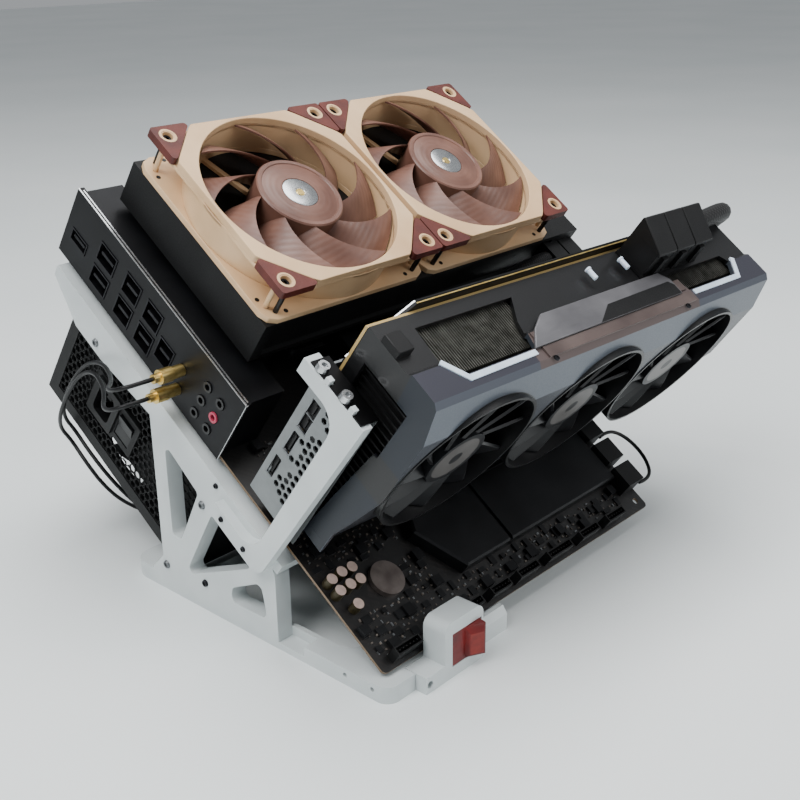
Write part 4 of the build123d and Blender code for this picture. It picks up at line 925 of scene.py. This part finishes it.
# Solid rims, corners and the inlet's surround of that wall, as spans along the board and its normal
island = (
    ((127.9, 277.9), (-100.9, -92.9)), ((127.9, 277.9), (-22.9, -14.9)), ((127.9, 135.9), (-92.9, -22.9)),
    ((269.9, 277.9), (-92.9, -22.9)), ((199.2, 203.2), (-77.5, -51.5)), ((203.2, 216.8), (-55.5, -51.5)),
    ((203.2, 216.8), (-77.5, -73.5)), ((216.8, 220.2), (-80, -47)), ((220.2, 240.8), (-50.7, -47)),
    ((220.2, 240.8), (-80, -76.3)), ((240.8, 244.5), (-80, -47)),
)
shaped("psu_end_frame", black_coat, *[(block, SIDE, s, n, (4.02, 5.4)) for s, n in island])
cells = []
pitch = 5.2
for row in range(17):
    for column in range(28):
        s = 134 + pitch * (column + (row % 2) / 2)
        n = -94.5 + pitch * 0.866 * row
        if s < 272 and n < -21.5 and not (197.5 < s < 246 and -81.5 < n < -45.5):
            cells.append((s, n, 4.9))
grown("psu_honeycomb", comb, base_of(cells), {"Cell": 2.75, "Web": 0.62, "Thickness": 0.8},
      black_coat, SIDE, bench)
# A black sheet behind the honeycomb, painted shade that stands for the dark inside of the supply
shaped("psu_inside_painted_shade", black_nylon, (block, SIDE, (135, 271), (-94, -22), (15.2, 15.9)))


# Small parts on the board and on the card
def patch(corners):
    """Spots and faces of the areas that small parts are strewn over."""
    spots, shapes = [], []
    for x0, s0, x1, s1 in corners:
        first = len(spots)
        spots += [(x0, s0, 0), (x1, s0, 0), (x1, s1, 0), (x0, s1, 0)]
        shapes.append((first, first + 1, first + 2, first + 3))
    return spots, shapes


open_board = ((26, 58, 62, 100), (50, 24, 64, 46), (28, 21, 46, 29), (66, 72, 226, 102), (28, 10, 224, 21),
              (142, 108, 168, 146), (20, 118, 60, 140), (210, 120, 226, 200), (4, 10, 26, 30), (4, 62, 24, 100))
open_card = ((20, 18, 40, 100), (60, 18, 190, 26), (200, 30, 290, 60), (60, 120, 186, 133))
for name, finish, spacing, seed, low, high in (
    ("board_chips", black_abs, 8.0, 3, (2.5, 2.5, 0.8), (6.5, 5.5, 1.6)),
    ("board_ceramics", board_ceramic, 3.3, 5, (0.7, 0.5, 0.4), (1.9, 1.1, 0.9)),
    ("board_solder", tin_plate, 5.4, 9, (0.6, 0.5, 0.3), (2.2, 1.2, 0.8)),
    ("board_chokes", charcoal_brushed, 17.0, 12, (5, 5, 2.4), (7, 6.5, 4)),
    ("card_parts_dark", black_abs, 7.0, 7, (2, 2, 0.6), (5, 4, 1.2)),
    ("card_parts_tan", card_ceramic, 4.0, 7, (0.8, 0.5, 0.3), (1.8, 1, 0.6)),
):
    areas, place = (open_card, CARD_FACE) if name.startswith("card") else (open_board, BOARD)
    values = {"Spacing": spacing, "Seed": seed, "Smallest": low, "Largest": high}
    grown(name, strewn, base_of(*patch(areas)), values, finish, place, bench)

# Graphics card: fine fins between the core and the lid, and the post behind each fan
posts = CARD_FACE @ Matrix.Translation((0, 0, 36))
core = shaped("card_fin_core", fin_metal, (block, CARD, (9, 295), (-36, -3), (22, 116)),
              *[(rod, posts, spot, 11, 0, 4, 32) for spot in card_fans], bevel=0.3)
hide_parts("card_fins")
plate_row("card_fins_near", 44, (25, -20.5, 125), (1.6, 0, 0), (0.5, 30, 20), fin_metal, CARD)
plate_row("card_fins_far", 44, (210, -29.5, 125), (1.6, 0, 0), (0.5, 12, 20), fin_metal, CARD)
screw_set("card_trim_screws", [(x, -48.4, 140) for x in (89, 209.5)], (0, 0, 1), 1.7, 0.7, 0.9,
          black_nickel, CARD)

# Plates, hoods of the power plugs and other trim of the card, each from its outline
plate_edge = ((79.5, -40.3), (89, -30.5), (100, -24), (206, -23.8), (211.5, -30), (211.5, -40.3))
shaped("card_label_plate", label_brushed, (prism, CARD, plate_edge, 140.2, 142), bevel=0.35)
inlay_edge = ((134, -40.2), (149, -31.6), (207.5, -31), (210.6, -34), (210.6, -40.2))
shaped("card_label_inlay", black_nylon, (prism, CARD, inlay_edge, 141.9, 142.15), bevel=0.08)
hood_edge = ((-22.2, 154.4), (-22.2, 156.2), (-20.6, 157.4), (-2.6, 165.6), (-1.4, 164.6), (-1.4, 154.4))
shaped("card_plug_hoods", black_nylon,
       *[(prism, BRACKET, hood_edge, left + 0.5, left + 18.5) for left in (195, 214, 233)], bevel=0.4)
# The ferrules take the opal finish, whose faint emission is a painted glow
shaped("card_lead_ferrules", opal_painted_glow,
       *[(rod, CARD_FACE, (x, 142.3), radius, low, high, 20) for x in (156.5, 186.5)
         for radius, low, high in ((1.5, 9, 15.5), (1.9, 8.2, 9.4))], bevel=0.2)
cover_edge = ((-44, 15), (-29.4, 15), (-31.6, 44), (-34.3, 66), (-36.3, 85), (-37.2, 90), (-44, 90))
shaped("card_end_cover", shell_paint_and_shade, (prism, BRACKET, cover_edge, 3.05, 5.6), bevel=0.3)

# Card bracket: a stamped plate with a folded tab, cut through for its sockets and its vents
bracket_edge = ((-0.9, 6), (0, 6), (0, 109.9), (-11, 109.9), (-11, 109), (-0.9, 109))
shape = bmesh.new()
prism(shape, CARD_FACE, bracket_edge, -8, 31)
blank = put("bracket_blank", outward("bracket_blank", shape))
socket_cuts = (
    ((4.8, 23.6), (0.2, 23.6), (-0.9, 25), (-0.9, 37.4), (0.2, 38.6), (4.2, 38.6), (4.8, 37)),
    ((3.2, 44.6), (-2.3, 44.6), (-2.3, 60.4), (1.8, 60.4), (3.2, 59)),
    ((3, 63.2), (-4.2, 63.2), (-4.2, 85), (3, 85)),
)
# Rows of vents: where the first hole of each lies, and how many follow along the plate
vent_rows = ((-4.4, 24.5, 2), (-8.6, 22.1, 4), (-12.8, 19.6, 5), (-17, 22.1, 4), (-4.4, 45.6, 1),
             (-4.4, 59.2, 1), (-8.6, 47, 5), (-12.8, 44.6, 6), (-17, 47, 6), (-8.6, 81, 2),
             (-12.8, 78.8, 2), (-17, 76.4, 3))
vent_pitch, vent_radius, through = 4.9, 1.95, (-2, 1)
shape = bmesh.new()
for outline in socket_cuts:
    prism(shape, BRACKET, outline, *through)
for y, z, count in vent_rows:
    for step in range(count):
        prism(shape, BRACKET, around((y, z + vent_pitch * step), vent_radius, 6), *through)
# The open slots under the tab's two screws
for y in (-6.8, -24.8):
    block(shape, CARD, (-12, -7.7), (y, y + 4.2), (108, 111))
cutter = put("bracket_cuts", outward("bracket_cuts", shape))
cut = blank.modifiers.new("cut", "BOOLEAN")
cut.object = cutter
cut.solver = "EXACT"
mesh = settled(blank)
for holder in (blank, cutter):
    bpy.data.objects.remove(holder)
plate = tidy_piece("bracket_plate", mesh, bracket_steel, bench, 0, 30)
shaped("bracket_feet", bracket_steel, (block, CARD, (0, 6), (3.2, 4.2), (20, 28)),
       *[(block, CARD, (0, 14), (4.05, 5.25), (low, low + 8)) for low in (20, 100)])
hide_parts("card_bracket")

# Display sockets behind the plate, each with its tongue and a bright rim in the cut
sockets, rims = bmesh.new(), bmesh.new()
for y, z in (((-0.7, 4.6), (23.8, 38.4)), ((-2.1, 3), (44.8, 60.2)),
             ((-4, 2.8), (63.4, 73.8)), ((-4, 2.8), (74.4, 84.8))):
    middle = (y[0] + y[1]) / 2
    block(sockets, CARD, (0.9, 5), y, z)
    block(sockets, CARD, (-0.2, 1), (middle - 0.7, middle + 0.4), (z[0] + 2.2, z[1] - 2.2))
    for edge in (((y[0] - 0.15, y[0] + 0.35), z), ((y[1] - 0.35, y[1] + 0.15), z),
                 ((y[0] + 0.35, y[1] - 0.35), (z[0], z[0] + 0.45))):
        block(rims, CARD, (-0.85, 0.2), *edge)
from_shape("bracket_display_sockets", sockets, black_nylon, bevel=0.1)
from_shape("bracket_socket_rims", rims, tin_plate)

# Screws of the frame, the board and the bracket
made = screw_set("frame_side_screws", [(-6, 245.6, -21.1), (-6, 133.9, -30.9), (-6, 134.7, -92.5)],
                 (-1, 0, 0), 2.5, 1.2, 1.3, tin_plate, BOARD)
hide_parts("frame_screws")
screw_set("truss_side_screw", [(-6, 132.2, -10.6)], (-1, 0, 0), 1.6, 1.0, 0.9, black_nickel, BOARD)
screw_set("arm_screws", [(-12, 116, -16), (-12, 96, -16)], (-1, 0, 0), 1.6, 1.0, 0.9, black_nickel, BOARD)
screw_set("truss_foot_screw", [(-6, 129, 5)], (-1, 0, 0), 2.2, 1.2, 1.2, black_nickel, CORNER)
made = screw_set("bracket_screw_heads", [(-8.5, 2.5, 109.9), (-8.5, -15.5, 109.9)], (0, 0, 1), 3.4, 3, 1.6,
                 nickel, CARD)
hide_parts("bracket_screws")
board_screw_spots = [(x, s, 0) for x in (10.16, 165.1, 237.49) for s in (163.83, 288.29)]
made = screw_set("board_screw_heads", board_screw_spots, (0, 0, 1), 3.0, 2, 1.4, nickel, BOARD)
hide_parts("board_screws")

# Raised lens on the power rocker's proud half: its sloping sides in the darker red as painted shade, its face
# in the paler red as a painted highlight
fold, tip = Vector((45, -14.95)), Vector((55.3, -19.7))
run = (tip - fold).normalized()
LENS = TABLE @ Matrix(((run.x, 0, run.y, fold.x), (run.y, 0, -run.x, fold.y), (0, 1, 0, 0), (0, 0, 0, 1)))
foot, crown = rectangle((-1.2, 10.4), (6.8, 24.4)), rectangle((0.8, 9.6), (7.8, 21))
shaped("rocker_lens", red_lens, (prism, LENS, foot, -0.3, 1.7, crown), body="power_rocker_body", bevel=0.35)
shaped("rocker_lens_face", lens_painted_highlight, (block, LENS, (1.4, 9.2), (8.4, 20.4), (1.5, 1.78)),
       body="power_rocker_body", bevel=0.15)

# Bright edges of the shield and of the card's back plate
shaped("shield_bright_edge", nickel,
       (block, BOARD, (-1.75, -1.0), (142.4, 301.2), (43.4, 43.7)),
       (block, BOARD, (0.1, 0.85), (143.9, 299.2), (43.4, 43.7)),
       (block, BOARD, (-1.75, -0.4), (141.9, 142.3), (-2.4, 43.5)))
for name, finish, depth in (("gold", gold, (1.95, 2.6)), ("grey", charcoal_brushed, (3.3, 4.05))):
    shaped(f"backplate_{name}_edge", finish, (block, CARD, (34, 286), depth, (141.5, 141.7)))
slope = CARD_FACE @ Matrix.Translation((0, 0, -4.05))
shaped("backplate_bright_edge", nickel,
       (prism, slope, ((34, 141.5), (33.9, 141.7), (5.8, 112.1), (6, 112)), 0, 0.75))
shaped("card_end_frame", black_nylon, (block, CARD, (7.6, 8.4), (-39.4, -8.4), (22.4, 121.6)),
       (block, CARD, (3.1, 13), (-20, -8.6), (135.6, 142.4)), bevel=0.6)
plate_row("card_end_ribs", 22, (6.4, -24, 26), (0, 0, 4.4), (2.4, 30, 0.8), black_nylon, CARD)

# Floor of pale matt laminate, and soft studio light
floor_finish = grainy("pale_studio_floor", "dfe5e5", "e8ecec", 400, 3, 0.02, (0.35, 0.5))
floor = shaped("studio_floor", floor_finish, (block, Matrix.Identity(4), (-6, 6), (-6, 6), (-0.02, 0)))
floor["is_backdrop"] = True
world = bpy.data.worlds.new("studio")
bpy.context.scene.world = world
world.use_nodes = True
world.node_tree.nodes["Background"].inputs["Color"].default_value = linear("eef2f6")
world.node_tree.nodes["Background"].inputs["Strength"].default_value = 0.42
for name, spot, size, power in (
    ("window_light", (-0.95, 0.05, 1.5), 1.0, 28),
    ("ceiling_light", (0.3, 0.1, 1.8), 1.4, 33),
    ("side_light", (0.6, -1.5, 0.9), 1.0, 12),
):
    lamp = bpy.data.lights.new(name, "AREA")
    lamp.size = size
    lamp.energy = power
    holder = put(name, lamp)
    holder.location = spot
    holder.rotation_euler = (Vector((0, 0.08, 0.12)) - Vector(spot)).to_track_quat("-Z", "Y").to_euler()

boxes = [[list(corner) for corner in box] for box in (cad_box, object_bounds())]
